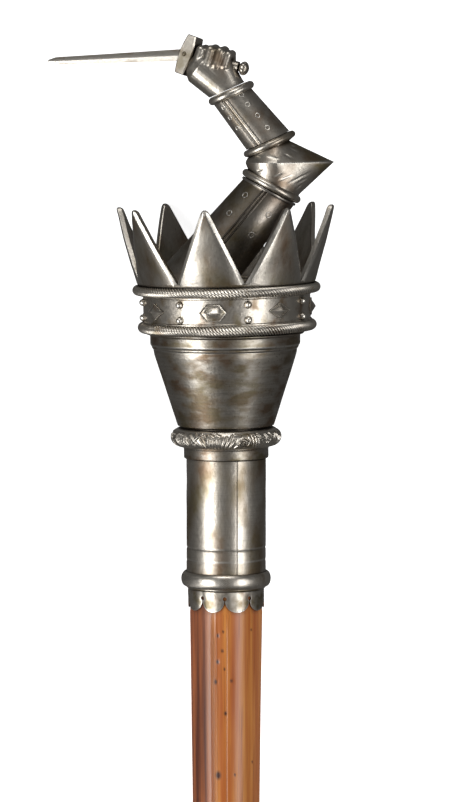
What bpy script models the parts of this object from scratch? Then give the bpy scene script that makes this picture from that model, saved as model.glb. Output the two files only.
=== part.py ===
"""Ceremonial staff: a malacca cane under a plated metal head, lying on the ground.

The staff is modelled upright in its own frame: +X to its right, +Y to its back,
+Z up its length, with zero at the lower edge of the socket. A bearing is an angle
in degrees round the staff, from its front (-Y) towards its right (+X). An empty
then lays the staff down on two points of its crown and the edge of its foot.
"""
import math

import bmesh
import bpy
from mathutils import Matrix, Vector

MM = 0.001
GAP = 0.3 * MM

# Cane: thick under the head, thinning quickly at first
CANE_TOP = 60.0 * MM
CANE_THIN_RADIUS = 10.9 * MM
CANE_EXTRA_RADIUS = 5.45 * MM
CANE_TAPER_LENGTH = 360.0 * MM
CANE_TENON_RADIUS = 16.2 * MM
CANE_RIDGE = 0.45 * MM
CANE_RIDGE_BEARING = -20.0
CANE_SIDES = 22
CANE_STATIONS_MM = (-3.0, -25.0, -70.0, -140.0, -240.0, -380.0, -560.0, -780.0, -974.0)
CANE_RIDGE_HALF_WIDTH = 9.0
CANE_RIDGE_FADE_MM = 22.0

# Ferrule on the foot
FOOT_END = -1042.0 * MM
FERRULE_TOP = -975.0 * MM
FERRULE_BORE_RADIUS = 10.5 * MM
FERRULE_BORE_END = -1012.0 * MM
FERRULE_RADIUS = 11.8 * MM
FERRULE_FLAT_RADIUS = 9.0 * MM
FERRULE_BEAD = 0.8 * MM
FERRULE_BEAD_HEIGHT = 2.6 * MM
FERRULE_SIDES = 20

# Socket tube with its scalloped hem and milled bead
SOCKET_BORE_RADIUS = 16.6 * MM
HEM_RADIUS = 17.25 * MM
TUBE_RADIUS = 17.9 * MM
HEM_TOP = 9.0 * MM
SOCKET_TOP = 68.0 * MM
SCALLOPS = 9
SCALLOP_NOTCH_BEARING = -1.9
SCALLOP_COLUMNS = 8
SCALLOP_DEPTH = 6.2 * MM
BEAD_HEIGHT = 13.6 * MM
BEAD_HALF_HEIGHT = 3.4 * MM
BEAD_RADIUS = 20.15 * MM

# Cup: a thin shell with a collar below and a flange above
WALL = 1.3 * MM
COLLAR_RADIUS = 19.1 * MM
COLLAR_TOP = 72.9 * MM
NECK_RADIUS = 19.4 * MM
CONE_START = (21.7 * MM, 83.0 * MM)
CONE_END = (31.9 * MM, 114.9 * MM)
LIP_RADIUS = 33.7 * MM
LIP_HEIGHT = 119.4 * MM
CUP_TOP = 125.0 * MM
FLANGE_RADIUS = 35.4 * MM
CUP_SIDES = 28

# Leaf ring round the neck of the cup
LEAF_RING_HEIGHT = 77.9 * MM
LEAF_RING_CENTRE_RADIUS = 20.3 * MM
LEAF_RING_BULGE = 4.25 * MM
LEAF_DEPTH = 0.35 * MM
LEAVES = 16
LEAF_SECTION = (1.0, 0.1, -1.0)
LEAF_RING_LEVELS = (-90.0, -58.0, -26.0, 6.0, 38.0, 72.0)

# Crown: a sleeve with eight flared points
POINTS = 8
FIRST_TIP_BEARING = -10.5
SLEEVE_BORE_RADIUS = 34.6 * MM
SLEEVE_RADIUS = 36.2 * MM
SLEEVE_FOOT = 125.8 * MM
WEB_HEIGHT = 147.1 * MM
NOTCH_HEIGHT = 148.3 * MM
TIP_HEIGHT = 181.6 * MM
CROWN_RADIUS = 40.4 * MM
CROWN_FLARE = 0.285
POINT_THICKNESS = 3.0 * MM
POINT_TIP_THICKNESS = 1.2 * MM
POINT_CHAMFER_WIDTH = 1.7 * MM
POINT_CHAMFER_DEPTH = 0.8 * MM
POINT_TIP_HALF_WIDTH = 1.2 * MM
POINT_LEVELS = (0.5, 0.95, 1.0)
CROWN_COLUMNS = 6

# Band: a plate between two rope edges, set with jewels and pellets
BAND_BORE_RADIUS = 36.6 * MM
BAND_RADIUS = 37.6 * MM
LOW_ROPE = (37.9 * MM, 127.8 * MM, 2.35 * MM)
HIGH_ROPE = (40.1 * MM, 144.6 * MM, 2.2 * MM)
SETTINGS = 15
FIRST_SETTING_BEARING = -81.5
SETTING_HEIGHT = 135.9 * MM
JEWEL_HEIGHT = 2.3 * MM
JEWEL_HALF_LENGTH = 6.1 * MM
JEWEL_HALF_WIDTH = 3.75 * MM
PELLET_RADIUS = 1.75 * MM
PELLET_OFFSET = 3.4 * MM
PELLET_LEVELS = ((-0.6 * MM, 1.0), (1.0 * MM, 0.95), (2.0 * MM, 0.55))

# Floor plate inside the crown
FLOOR_TOP = 146.8 * MM
FLOOR_RADIUS = 34.2 * MM
FLOOR_THICKNESS = 1.6 * MM

# The cup leans a little to its left, and the crown on it a little more
CUP_LEAN = math.radians(0.5)
CUP_LEAN_HEIGHT = 72.0 * MM
CROWN_LEAN = math.radians(1.2)
CROWN_LEAN_HEIGHT = 150.0 * MM

# Arm: places are (right, height), and the arm leans back as it rises
ARM_SIDES = 20
ARM_FORWARD = 2.0 * MM
ARM_LEAN = math.tan(math.radians(4.5))
SHOULDER = (-14.9 * MM, 147.1 * MM)
SHOULDER_HALF_WIDTH = 19.2 * MM
SHOULDER_HALF_DEPTH = 15.0 * MM
ARM_RIB_BEARING = -8.0
RIB_HEIGHT = 0.6 * MM
RIB_HALF_WIDTH = 8.0
LOW_RING = (20.3 * MM, 190.4 * MM)
LOW_RING_SLOPE = math.radians(-27.7)
LOW_RING_HALF_WIDTH = 12.8 * MM
LOW_RING_THICKNESS = 1.75 * MM
HIGH_RING = (19.4 * MM, 209.2 * MM)
HIGH_RING_SLOPE = math.radians(24.0)
HIGH_RING_HALF_WIDTH = 11.1 * MM
HIGH_RING_THICKNESS = 1.5 * MM
WRIST_RING = (2.3 * MM, 231.9 * MM)
WRIST_RING_HALF_WIDTH = 9.2 * MM
WRIST_RING_THICKNESS = 1.8 * MM
FOREARM_RIB_BEARING = -26.0
TUBE_DEPTH_RATIO = 0.97

# Elbow piece: sections fan out from a hinge line at the inside of the bend
ELBOW_HINGE = (4.06 * MM, 200.84 * MM)
ELBOW_TIP = (48.4 * MM, 201.2 * MM)
ELBOW_TOP_EDGE = (30.2 * MM, 209.8 * MM)
ELBOW_LOW_EDGE = (33.3 * MM, 187.2 * MM)
ELBOW_RIDGE = 1.6 * MM
ELBOW_INNER_REACH = 6.5 * MM
ELBOW_BULGE = 1.9 * MM
ELBOW_HIGH_MIDDLE = 17.4 * MM
ELBOW_LOW_MIDDLE = 19.2 * MM
ELBOW_POINTED_POWER = 1.2
ELBOW_ROUND_POWER = 2.0
ELBOW_HIGH_SHARES = (0.9, 0.55, 0.22, 0.0)
ELBOW_LOW_SHARES = (0.22, 0.55, 0.92)

# Dagger, held in the fist and pointing to the left and a little away
GUARD_LEVELS = ((1.0, 0.82, 0.86), (0.93, 1.0, 1.0), (0.15, 0.0, 1.0))
BLADE_LEVELS = ((0.0, 1.0, 1.0), (0.5, 0.86, 0.86), (0.95, 0.62, 0.6), (1.0, 0.3, 0.3))
DAGGER_TURN = math.radians(17.0)
GUARD_TURN = math.radians(25.0)
GUARD_CENTRE = (-16.7 * MM, 248.6 * MM)
GUARD_TILT = math.radians(19.8)
GUARD_HALF_LENGTH = 9.1 * MM
GUARD_END_WIDTH = 4.1 * MM
GUARD_MIDDLE_WIDTH = 6.8 * MM
GUARD_DEPTH = 9.0 * MM
BLADE_TIP = (-80.8 * MM, 246.0 * MM)
BLADE_ROOT_WIDTH = 5.5 * MM
BLADE_THICKNESS = 2.2 * MM
GRIP_RADIUS = 2.5 * MM
GRIP_SIDES = 12
POMMEL_CENTRE = (7.9 * MM, 242.9 * MM)
POMMEL_RADIUS = 3.2 * MM
POMMEL_LENGTH = 4.2 * MM
POMMEL_HOLLOW = 0.84

# Fist, in millimetres along the grip, up and forward from the middle of the grip
HAND_VOXEL = 0.55 * MM
HAND_KEEP = 0.048
WRIST_RADIUS = 8.2 * MM
PALM_LOBES = ((-3.8, 5.2, 8.8), (0.8, 4.2, 7.4), (3.6, 3.0, 6.4))
FINGER_PATH = ((6.2, -1.2), (4.3, 5.0), (-2.8, 6.0), (-6.6, 2.0), (-5.2, -3.0))
FINGER_RADII = (2.5, 2.45, 2.35, 2.2, 1.9)
FINGERS = ((-7.0, 0.96, 1.3), (-2.6, 1.02, 0.7), (1.8, 0.98, 0.2), (5.6, 0.84, 0.0))
THUMB_PATH = ((-4.5, -8.0, -1.5), (-7.4, -3.8, -6.8), (-5.2, 1.4, -9.6), (-0.6, 3.4, -9.8))
THUMB_RADII = (4.0, 2.9, 2.5, 2.1)

# Lying pose: the bearing of the staff that faces the sky
SKY_BEARING = 12.0


def around(radius, bearing, height):
    """Point at a radius, a bearing and a height of the upright staff."""
    angle = math.radians(bearing)
    return Vector((radius * math.sin(angle), -radius * math.cos(angle), height))


def material(name, colour, roughness, metallic):
    """Plain finish with the piece's colour."""
    made = bpy.data.materials.new(name)
    made.use_nodes = True
    shader = made.node_tree.nodes["Principled BSDF"]
    shader.inputs["Base Color"].default_value = (*colour, 1.0)
    shader.inputs["Roughness"].default_value = roughness
    shader.inputs["Metallic"].default_value = metallic
    return made


def silver(name, tone=0.5):
    """Worn plate over base metal, in a lighter or darker tone."""
    return material(name, (tone, tone * 0.94, tone * 0.85), 0.34, 1.0)


def add_rings(bm, rings, closed=False):
    """Skin a row of equal rings, with a flat cap at each end or closed on itself."""
    rows = [[bm.verts.new(point) for point in ring] for ring in rings]
    count = len(rows[0])
    pairs = list(zip(rows, rows[1:]))
    if closed:
        pairs.append((rows[-1], rows[0]))
    else:
        bm.faces.new(rows[0])
        bm.faces.new(rows[-1])
    for low, high in pairs:
        for i in range(count):
            j = (i + 1) % count
            bm.faces.new((low[i], low[j], high[j], high[i]))


def finish(bm, name, finish_material, parent, sharp_degrees=35.0):
    """Turn a mesh into a named piece with its faces pointing out."""
    bmesh.ops.recalc_face_normals(bm, faces=bm.faces)
    mesh = bpy.data.meshes.new(name)
    bm.to_mesh(mesh)
    bm.free()
    mesh.materials.append(finish_material)
    mesh.shade_smooth()
    mesh.set_sharp_from_angle(angle=math.radians(sharp_degrees))
    made = bpy.data.objects.new(name, mesh)
    bpy.context.scene.collection.objects.link(made)
    made.parent = parent
    return made


def guide(bm, name, parent):
    """Helper shape for a Boolean, left out of the finished staff."""
    bmesh.ops.recalc_face_normals(bm, faces=bm.faces)
    mesh = bpy.data.meshes.new(name)
    bm.to_mesh(mesh)
    bm.free()
    made = bpy.data.objects.new(name, mesh)
    bpy.context.scene.collection.objects.link(made)
    made.parent = parent
    made.hide_render = True
    made.display_type = "WIRE"
    return made


def combine(piece, other, operation):
    """Join a guide to a piece, or cut the piece with it."""
    modifier = piece.modifiers.new(operation.title(), "BOOLEAN")
    modifier.operation = operation
    modifier.solver = "EXACT"
    modifier.object = other


def even_bearings(sides, start=0.0):
    """Bearings evenly spread round the staff."""
    return [start + 360.0 * i / sides for i in range(sides)]


def ridged_bearings(ridge, half_width, sides):
    """Bearings with three close together, so that the second can carry a ridge."""
    spread = 360.0 - 2.0 * half_width
    rest = [half_width + spread * i / (sides - 2) for i in range(1, sides - 2)]
    return [ridge + offset for offset in (-half_width, 0.0, half_width, *rest)]


def turned_rings(profile, bearings):
    """One ring for each (radius, height) of a turned profile."""
    return [[around(radius, b, height) for b in bearings] for radius, height in profile]


def arc_profile(centre, radius, start, end, steps):
    """Arc of a profile; angles in degrees from level outward, upward positive."""
    points = []
    for i in range(steps + 1):
        angle = math.radians(start + (end - start) * i / steps)
        points.append((centre[0] + radius * math.cos(angle),
                       centre[1] + radius * math.sin(angle)))
    return points


def cane_radius(height):
    """Radius of the cane below the socket."""
    return CANE_THIN_RADIUS + CANE_EXTRA_RADIUS * math.exp(height / CANE_TAPER_LENGTH)


def make_cane(parent):
    """The cane, with a tenon in the socket, one in the ferrule, and its ridge."""
    bearings = ridged_bearings(CANE_RIDGE_BEARING, CANE_RIDGE_HALF_WIDTH, CANE_SIDES)
    rings = [[around(CANE_TENON_RADIUS, b, z) for b in bearings] for z in (CANE_TOP, -1.0 * MM)]
    for station in CANE_STATIONS_MM:
        height = station * MM
        fade = min(1.0, (CANE_STATIONS_MM[0] - station) / CANE_RIDGE_FADE_MM)
        radii = [cane_radius(height)] * len(bearings)
        radii[1] += CANE_RIDGE * fade
        rings.append([around(r, b, height) for r, b in zip(radii, bearings)])
    tenon = FERRULE_BORE_RADIUS - GAP
    foot = FERRULE_BORE_END + GAP
    for radius, height in ((tenon, FERRULE_TOP + 0.6 * MM), (tenon, foot)):
        rings.append([around(radius, b, height) for b in bearings])
    bm = bmesh.new()
    add_rings(bm, rings)
    return finish(bm, "cane_shaft", material("malacca", (0.42, 0.16, 0.045), 0.35, 0.0), parent)


def make_ferrule(parent):
    """Metal cup on the foot of the cane with a bead at its mouth."""
    profile = [
        (FERRULE_BORE_RADIUS, FERRULE_BORE_END),
        (FERRULE_BORE_RADIUS, FERRULE_TOP),
        (FERRULE_RADIUS, FERRULE_TOP),
        (FERRULE_RADIUS + FERRULE_BEAD, FERRULE_TOP - FERRULE_BEAD_HEIGHT * 0.5),
        (FERRULE_RADIUS, FERRULE_TOP - FERRULE_BEAD_HEIGHT),
        (FERRULE_RADIUS - 0.7 * MM, FOOT_END + 5.0 * MM),
        (FERRULE_RADIUS - 1.2 * MM, FOOT_END + 1.2 * MM),
        (FERRULE_FLAT_RADIUS, FOOT_END),
    ]
    bm = bmesh.new()
    add_rings(bm, turned_rings(profile, even_bearings(FERRULE_SIDES)))
    return finish(bm, "foot_ferrule", silver("ferrule_metal", 0.4), parent)


def scallop_edge(bearing):
    """Height of the hem's lower edge: half-round lobes that meet in deep notches."""
    pitch = 360.0 / SCALLOPS
    place = ((bearing - SCALLOP_NOTCH_BEARING) / pitch) % 1.0
    across = abs(2.0 * place - 1.0)
    return SCALLOP_DEPTH * (1.0 - math.sqrt(max(0.0, 1.0 - across ** 2.6)))


def make_socket(parent):
    """Tube that holds the cane, with the scalloped hem along its lower edge."""
    bearings = even_bearings(SCALLOPS * SCALLOP_COLUMNS, SCALLOP_NOTCH_BEARING)
    edge = [scallop_edge(b) for b in bearings]
    rings = [
        [around(SOCKET_BORE_RADIUS, b, z) for b, z in zip(bearings, edge)],
        [around(HEM_RADIUS, b, z) for b, z in zip(bearings, edge)],
        [around(HEM_RADIUS, b, HEM_TOP) for b in bearings],
        [around(TUBE_RADIUS, b, HEM_TOP + 0.6 * MM) for b in bearings],
        [around(TUBE_RADIUS, b, SOCKET_TOP) for b in bearings],
        [around(SOCKET_BORE_RADIUS, b, SOCKET_TOP) for b in bearings],
    ]
    bm = bmesh.new()
    add_rings(bm, rings, closed=True)
    return finish(bm, "socket", silver("socket_metal"), parent)


def make_bead(parent):
    """Half-round milled ring round the socket."""
    bore = TUBE_RADIUS + GAP
    bulge = BEAD_RADIUS - bore
    profile = [(bore, BEAD_HEIGHT - BEAD_HALF_HEIGHT)]
    for angle in (-55.0, 0.0, 55.0):
        turn = math.radians(angle)
        profile.append((bore + bulge * math.cos(turn),
                        BEAD_HEIGHT + BEAD_HALF_HEIGHT * math.sin(turn)))
    profile.append((bore, BEAD_HEIGHT + BEAD_HALF_HEIGHT))
    bm = bmesh.new()
    add_rings(bm, turned_rings(profile, even_bearings(36)), closed=True)
    return finish(bm, "socket_bead", silver("bead_metal", 0.55), parent)


def make_cup(parent):
    """Hollow cone with a collar below, a stepped lip and a flange for the crown."""
    bore = SOCKET_BORE_RADIUS
    outside = [
        (bore, SOCKET_TOP + GAP),
        (COLLAR_RADIUS, SOCKET_TOP + GAP),
        (COLLAR_RADIUS, COLLAR_TOP),
        (NECK_RADIUS, COLLAR_TOP + 0.5 * MM),
        (NECK_RADIUS, CONE_START[1] - GAP),
        CONE_START,
        CONE_END,
        (CONE_END[0] + 0.4 * MM, LIP_HEIGHT - 2.0 * MM),
        (LIP_RADIUS - 0.4 * MM, LIP_HEIGHT),
        (LIP_RADIUS, CUP_TOP - 1.2 * MM),
        (FLANGE_RADIUS, CUP_TOP - 0.6 * MM),
        (FLANGE_RADIUS, CUP_TOP),
    ]
    inside = [
        (LIP_RADIUS - WALL, CUP_TOP),
        (LIP_RADIUS - WALL - 0.4 * MM, LIP_HEIGHT + 0.5 * MM),
        (CONE_END[0] - WALL, CONE_END[1] + 0.6 * MM),
        (CONE_START[0] - WALL, CONE_START[1] + 1.2 * MM),
        (bore, CONE_START[1] - 3.0 * MM),
    ]
    bm = bmesh.new()
    add_rings(bm, turned_rings(outside + inside, even_bearings(CUP_SIDES)), closed=True)
    return finish(bm, "cup", silver("cup_metal", 0.38), parent)


def make_leaf_ring(parent):
    """Half-round ring whose surface is cut into slanting leaf blades."""
    bearings = even_bearings(LEAVES * len(LEAF_SECTION))
    bore = NECK_RADIUS + GAP
    rings = [[around(bore, b, LEAF_RING_HEIGHT - LEAF_RING_BULGE) for b in bearings]]
    for level, angle in enumerate(LEAF_RING_LEVELS):
        turn = math.radians(angle)
        ring = []
        for i, bearing in enumerate(bearings):
            blade = LEAF_SECTION[(i + level) % len(LEAF_SECTION)]
            relief = LEAF_DEPTH * blade * math.cos(turn)
            bulge = LEAF_RING_BULGE + relief
            ring.append(around(LEAF_RING_CENTRE_RADIUS + bulge * math.cos(turn), bearing,
                               LEAF_RING_HEIGHT + LEAF_RING_BULGE * math.sin(turn)))
        rings.append(ring)
    rings.append([around(bore, b, LEAF_RING_HEIGHT + LEAF_RING_BULGE) for b in bearings])
    bm = bmesh.new()
    add_rings(bm, rings, closed=True)
    return finish(bm, "leaf_ring", silver("leaf_metal", 0.5), parent)


def point_columns(half_width, chamfer):
    """Places across one point of the crown, from its left edge to its right."""
    inner = half_width - chamfer
    return [-half_width, -inner, -inner * 0.5, 0.0, inner * 0.5, inner, half_width]


def crown_outside(height):
    """Radius of the crown's outer face, which flares upward."""
    return CROWN_RADIUS + CROWN_FLARE * (height - NOTCH_HEIGHT)


def point_row(bearing, height, half_width, chamfer, thickness, outside):
    """One level of a point: its outer or its inner face, left to right."""
    radius = crown_outside(height)
    inset = 0.5 * (POINT_THICKNESS - thickness)
    row = []
    for i, across in enumerate(point_columns(half_width, chamfer)):
        depth = inset
        if i in (0, CROWN_COLUMNS):
            depth += POINT_CHAMFER_DEPTH * thickness / POINT_THICKNESS
        face = radius - depth if outside else radius - POINT_THICKNESS + inset
        row.append(around(face, bearing + math.degrees(across / radius), height))
    return row


def make_crown(parent):
    """Sleeve, web and eight points with chamfered edges, in one piece."""
    bm = bmesh.new()
    half_pitch = math.radians(180.0 / POINTS) * CROWN_RADIUS
    tips = [FIRST_TIP_BEARING + 360.0 * i / POINTS for i in range(POINTS)]
    base_out = []
    base_in = []
    bearings = []
    for tip in tips:
        start = (tip, NOTCH_HEIGHT, half_pitch, POINT_CHAMFER_WIDTH, POINT_THICKNESS)
        outer = point_row(*start, True)
        inner = point_row(*start, False)
        base_out += [bm.verts.new(p) for p in outer[:-1]]
        base_in += [bm.verts.new(p) for p in inner[:-1]]
        bearings += [tip + math.degrees(x / CROWN_RADIUS)
                     for x in point_columns(half_pitch, POINT_CHAMFER_WIDTH)[:-1]]
    count = len(bearings)
    profile = [
        (CROWN_RADIUS - POINT_THICKNESS - 0.2 * MM, WEB_HEIGHT + 0.6 * MM),
        (SLEEVE_BORE_RADIUS, WEB_HEIGHT + 0.3 * MM),
        (SLEEVE_BORE_RADIUS, SLEEVE_FOOT),
        (SLEEVE_RADIUS, SLEEVE_FOOT),
        (SLEEVE_RADIUS, WEB_HEIGHT),
        (CROWN_RADIUS - 0.6 * MM, WEB_HEIGHT),
        (CROWN_RADIUS - 0.1 * MM, WEB_HEIGHT + 0.5 * MM),
    ]
    rows = [base_in]
    rows += [[bm.verts.new(p) for p in ring] for ring in turned_rings(profile, bearings)]
    rows.append(base_out)
    for low, high in zip(rows, rows[1:]):
        for i in range(count):
            j = (i + 1) % count
            bm.faces.new((low[i], low[j], high[j], high[i]))
    rise = TIP_HEIGHT - NOTCH_HEIGHT
    for n, tip in enumerate(tips):
        span = [(CROWN_COLUMNS * n + i) % count for i in range(CROWN_COLUMNS + 1)]
        lower = [base_out[i] for i in span], [base_in[i] for i in span]
        for level in POINT_LEVELS:
            width = half_pitch * (1.0 - level) + POINT_TIP_HALF_WIDTH * level
            thickness = POINT_THICKNESS
            if level == 1.0:
                width *= 0.5
                thickness = POINT_TIP_THICKNESS
            chamfer = min(POINT_CHAMFER_WIDTH, width * 0.6)
            height = NOTCH_HEIGHT + rise * level
            upper = []
            for outside in (True, False):
                row = point_row(tip, height, width, chamfer, thickness, outside)
                upper.append([bm.verts.new(p) for p in row])
            for low, high in zip(lower, upper):
                for i in range(CROWN_COLUMNS):
                    bm.faces.new((low[i], low[i + 1], high[i + 1], high[i]))
            for i in (0, CROWN_COLUMNS):
                bm.faces.new((lower[0][i], upper[0][i], upper[1][i], lower[1][i]))
            lower = upper
        bm.faces.new(lower[0] + lower[1][::-1])
    return finish(bm, "crown_points", silver("crown_metal", 0.36), parent, 25.0)


def setting_ring(bearing, radius, outline, scale):
    """Outline of a jewel or pellet laid on the band, at a radius."""
    ring = []
    for across, up in outline:
        turn = math.degrees(across * scale[0] / BAND_RADIUS)
        ring.append(around(radius, bearing + turn, SETTING_HEIGHT + up * scale[1]))
    return ring


def add_jewel(bm, bearing, sides):
    """Six-sided or four-sided jewel with a raised ridge along its length."""
    long = JEWEL_HALF_LENGTH
    wide = JEWEL_HALF_WIDTH
    if sides == 6:
        outline = [(-long, 0.0), (-long * 0.5, -wide), (long * 0.5, -wide),
                   (long, 0.0), (long * 0.5, wide), (-long * 0.5, wide)]
        top = (0.5, 0.3)
    else:
        outline = [(-long, 0.0), (0.0, -wide), (long, 0.0), (0.0, wide)]
        top = (0.42, 0.12)
    levels = [
        (BAND_RADIUS - 0.6 * MM, (1.0, 1.0)),
        (BAND_RADIUS + 0.5 * MM, (1.0, 1.0)),
        (BAND_RADIUS + JEWEL_HEIGHT, top),
    ]
    add_rings(bm, [setting_ring(bearing, r, outline, scale) for r, scale in levels])


def add_pellet(bm, bearing, offset):
    """Small round pellet on the band."""
    outline = []
    for i in range(6):
        angle = math.radians(60.0 * i)
        outline.append((PELLET_RADIUS * math.cos(angle), PELLET_RADIUS * math.sin(angle)))
    rings = []
    for lift, share in PELLET_LEVELS:
        moved = [(x * share, y * share + offset) for x, y in outline]
        rings.append(setting_ring(bearing, BAND_RADIUS + lift, moved, (1.0, 1.0)))
    add_rings(bm, rings)


def make_band(parent):
    """Plate with rope edges; jewels and pairs of pellets take turns round it."""
    low = arc_profile(LOW_ROPE[:2], LOW_ROPE[2], -90.0, 75.0, 3)
    high = arc_profile(HIGH_ROPE[:2], HIGH_ROPE[2], -105.0, 90.0, 3)
    profile = [(BAND_BORE_RADIUS, LOW_ROPE[1] - LOW_ROPE[2])]
    profile += low
    profile.append((BAND_RADIUS, LOW_ROPE[1] + LOW_ROPE[2] + 0.3 * MM))
    profile.append((BAND_RADIUS, HIGH_ROPE[1] - HIGH_ROPE[2] - 0.4 * MM))
    profile += high
    profile.append((BAND_BORE_RADIUS, HIGH_ROPE[1] + HIGH_ROPE[2]))
    bm = bmesh.new()
    bearings = even_bearings(3 * SETTINGS, FIRST_SETTING_BEARING + 4.0)
    add_rings(bm, turned_rings(profile, bearings), closed=True)
    band = finish(bm, "jewelled_band", silver("band_metal", 0.6), parent)
    studs = bmesh.new()
    for i in range(SETTINGS):
        bearing = FIRST_SETTING_BEARING + 360.0 * i / SETTINGS
        if i % 2 == 0:
            add_pellet(studs, bearing, PELLET_OFFSET)
            add_pellet(studs, bearing, -PELLET_OFFSET)
        else:
            add_jewel(studs, bearing, 4 if i % 4 == 1 else 6)
    combine(band, guide(studs, "band_studs_guide", parent), "UNION")
    return band


def make_floor(parent):
    """Round plate inside the crown."""
    profile = [(FLOOR_RADIUS, FLOOR_TOP - FLOOR_THICKNESS), (FLOOR_RADIUS, FLOOR_TOP)]
    bm = bmesh.new()
    add_rings(bm, turned_rings(profile, even_bearings(32)))
    return finish(bm, "crown_floor", silver("floor_metal", 0.3), parent)


def arm_point(right, height, forward):
    """Point of the arm, leaned back with its height above the shoulder."""
    back = (height - SHOULDER[1]) * ARM_LEAN
    return Vector((right, back - forward - ARM_FORWARD, height))


def arm_ring(centre, slope, half_width, half_depth, bearings, lifts=None):
    """Oval section of the arm in a plane that slopes up to the right."""
    lifts = lifts or [0.0] * len(bearings)
    ring = []
    for bearing, lift in zip(bearings, lifts):
        angle = math.radians(bearing)
        across = (half_width + lift) * math.sin(angle)
        forward = (half_depth + lift) * math.cos(angle)
        ring.append(arm_point(centre[0] + across * math.cos(slope),
                              centre[1] + across * math.sin(slope), forward))
    return ring


def shifted(centre, slope, distance):
    """Centre moved at right angles to a sloping section."""
    return (centre[0] - distance * math.sin(slope), centre[1] + distance * math.cos(slope))


def moulding(centre, slope, half_width, half_depth, thickness, bearings, downward=True):
    """Sections of a half-round ring, each with its offset and its bulge."""
    rings = []
    angles = (90.0, 45.0, 0.0, -45.0, -90.0)
    for angle in angles if downward else angles[::-1]:
        turn = math.radians(angle)
        bulge = thickness * math.cos(turn)
        place = shifted(centre, slope, thickness * math.sin(turn))
        rings.append(arm_ring(place, slope, half_width + bulge, half_depth + bulge, bearings))
    return rings


def rib_lifts():
    """Lift of each bearing of a ribbed section: only the middle of the rib rises."""
    return [0.0, RIB_HEIGHT] + [0.0] * (ARM_SIDES - 2)


def make_upper_arm(parent):
    """Plate tube from the crown's floor to the elbow piece, with a small flange."""
    bearings = ridged_bearings(ARM_RIB_BEARING, RIB_HALF_WIDTH, ARM_SIDES)
    lifts = rib_lifts()
    width = LOW_RING_HALF_WIDTH
    rings = []
    for below, wider in ((0.0, 0.6), (1.0, 0.6), (1.3, 0.0)):
        place = shifted(LOW_RING, LOW_RING_SLOPE, -LOW_RING_THICKNESS - GAP - below * MM)
        extra = wider * MM
        rings.append(arm_ring(place, LOW_RING_SLOPE, width + extra, width + extra,
                              bearings, lifts if not wider else None))
    base = []
    for point in arm_ring(SHOULDER, 0.0, SHOULDER_HALF_WIDTH, SHOULDER_HALF_DEPTH,
                          bearings, lifts):
        floor = lean(CROWN_LEAN, CROWN_LEAN_HEIGHT) @ Vector((point.x, 0.0, FLOOR_TOP + GAP))
        base.append(Vector((point.x, point.y, floor.z)))
    rings.append(base)
    bm = bmesh.new()
    add_rings(bm, rings)
    return finish(bm, "upper_arm", silver("upper_arm_metal", 0.4), parent, 30.0)


def elbow_tip_angle():
    """Angle of the tip, seen from the hinge line."""
    return math.atan2(ELBOW_TIP[1] - ELBOW_HINGE[1], ELBOW_TIP[0] - ELBOW_HINGE[0])


def elbow_reach(angle):
    """Distance from the hinge line to the straight edge that runs to the tip."""
    corner = ELBOW_TOP_EDGE if angle > elbow_tip_angle() else ELBOW_LOW_EDGE
    run = corner[0] - ELBOW_TIP[0]
    rise = corner[1] - ELBOW_TIP[1]
    start = (ELBOW_TIP[0] - ELBOW_HINGE[0], ELBOW_TIP[1] - ELBOW_HINGE[1])
    cross = start[0] * rise - start[1] * run
    return cross / (math.cos(angle) * rise - math.sin(angle) * run)


def elbow_section(angle, bearings):
    """Section of the elbow piece in a plane through its hinge line."""
    tip_angle = elbow_tip_angle()
    if angle > tip_angle:
        side = (angle - tip_angle) / (HIGH_RING_SLOPE - tip_angle)
        ring_depth = HIGH_RING_HALF_WIDTH * TUBE_DEPTH_RATIO
        ring_middle = ELBOW_HIGH_MIDDLE
    else:
        side = (angle - tip_angle) / (LOW_RING_SLOPE - tip_angle)
        ring_depth = LOW_RING_HALF_WIDTH
        ring_middle = ELBOW_LOW_MIDDLE
    ridge_depth = 0.5 * (HIGH_RING_HALF_WIDTH + LOW_RING_HALF_WIDTH) + ELBOW_RIDGE
    depth = ridge_depth + (ring_depth - ridge_depth) * side
    middle = 0.5 * (ELBOW_HIGH_MIDDLE + ELBOW_LOW_MIDDLE)
    middle += (ring_middle - middle) * side
    near = ELBOW_INNER_REACH - ELBOW_BULGE * (1.0 - side ** 2)
    far = elbow_reach(angle)
    power = ELBOW_POINTED_POWER + (ELBOW_ROUND_POWER - ELBOW_POINTED_POWER) * side
    ring = []
    for bearing in bearings:
        turn = math.radians(bearing)
        across = math.sin(turn)
        forward = math.cos(turn)
        if across < 0.0:
            reach = middle + (middle - near) * across
            front = depth * forward
        else:
            reach = middle + (far - middle) * across ** (2.0 / power)
            front = math.copysign(depth * abs(forward) ** (2.0 / power), forward)
        ring.append(arm_point(ELBOW_HINGE[0] + reach * math.cos(angle),
                              ELBOW_HINGE[1] + reach * math.sin(angle), front))
    return ring


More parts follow.
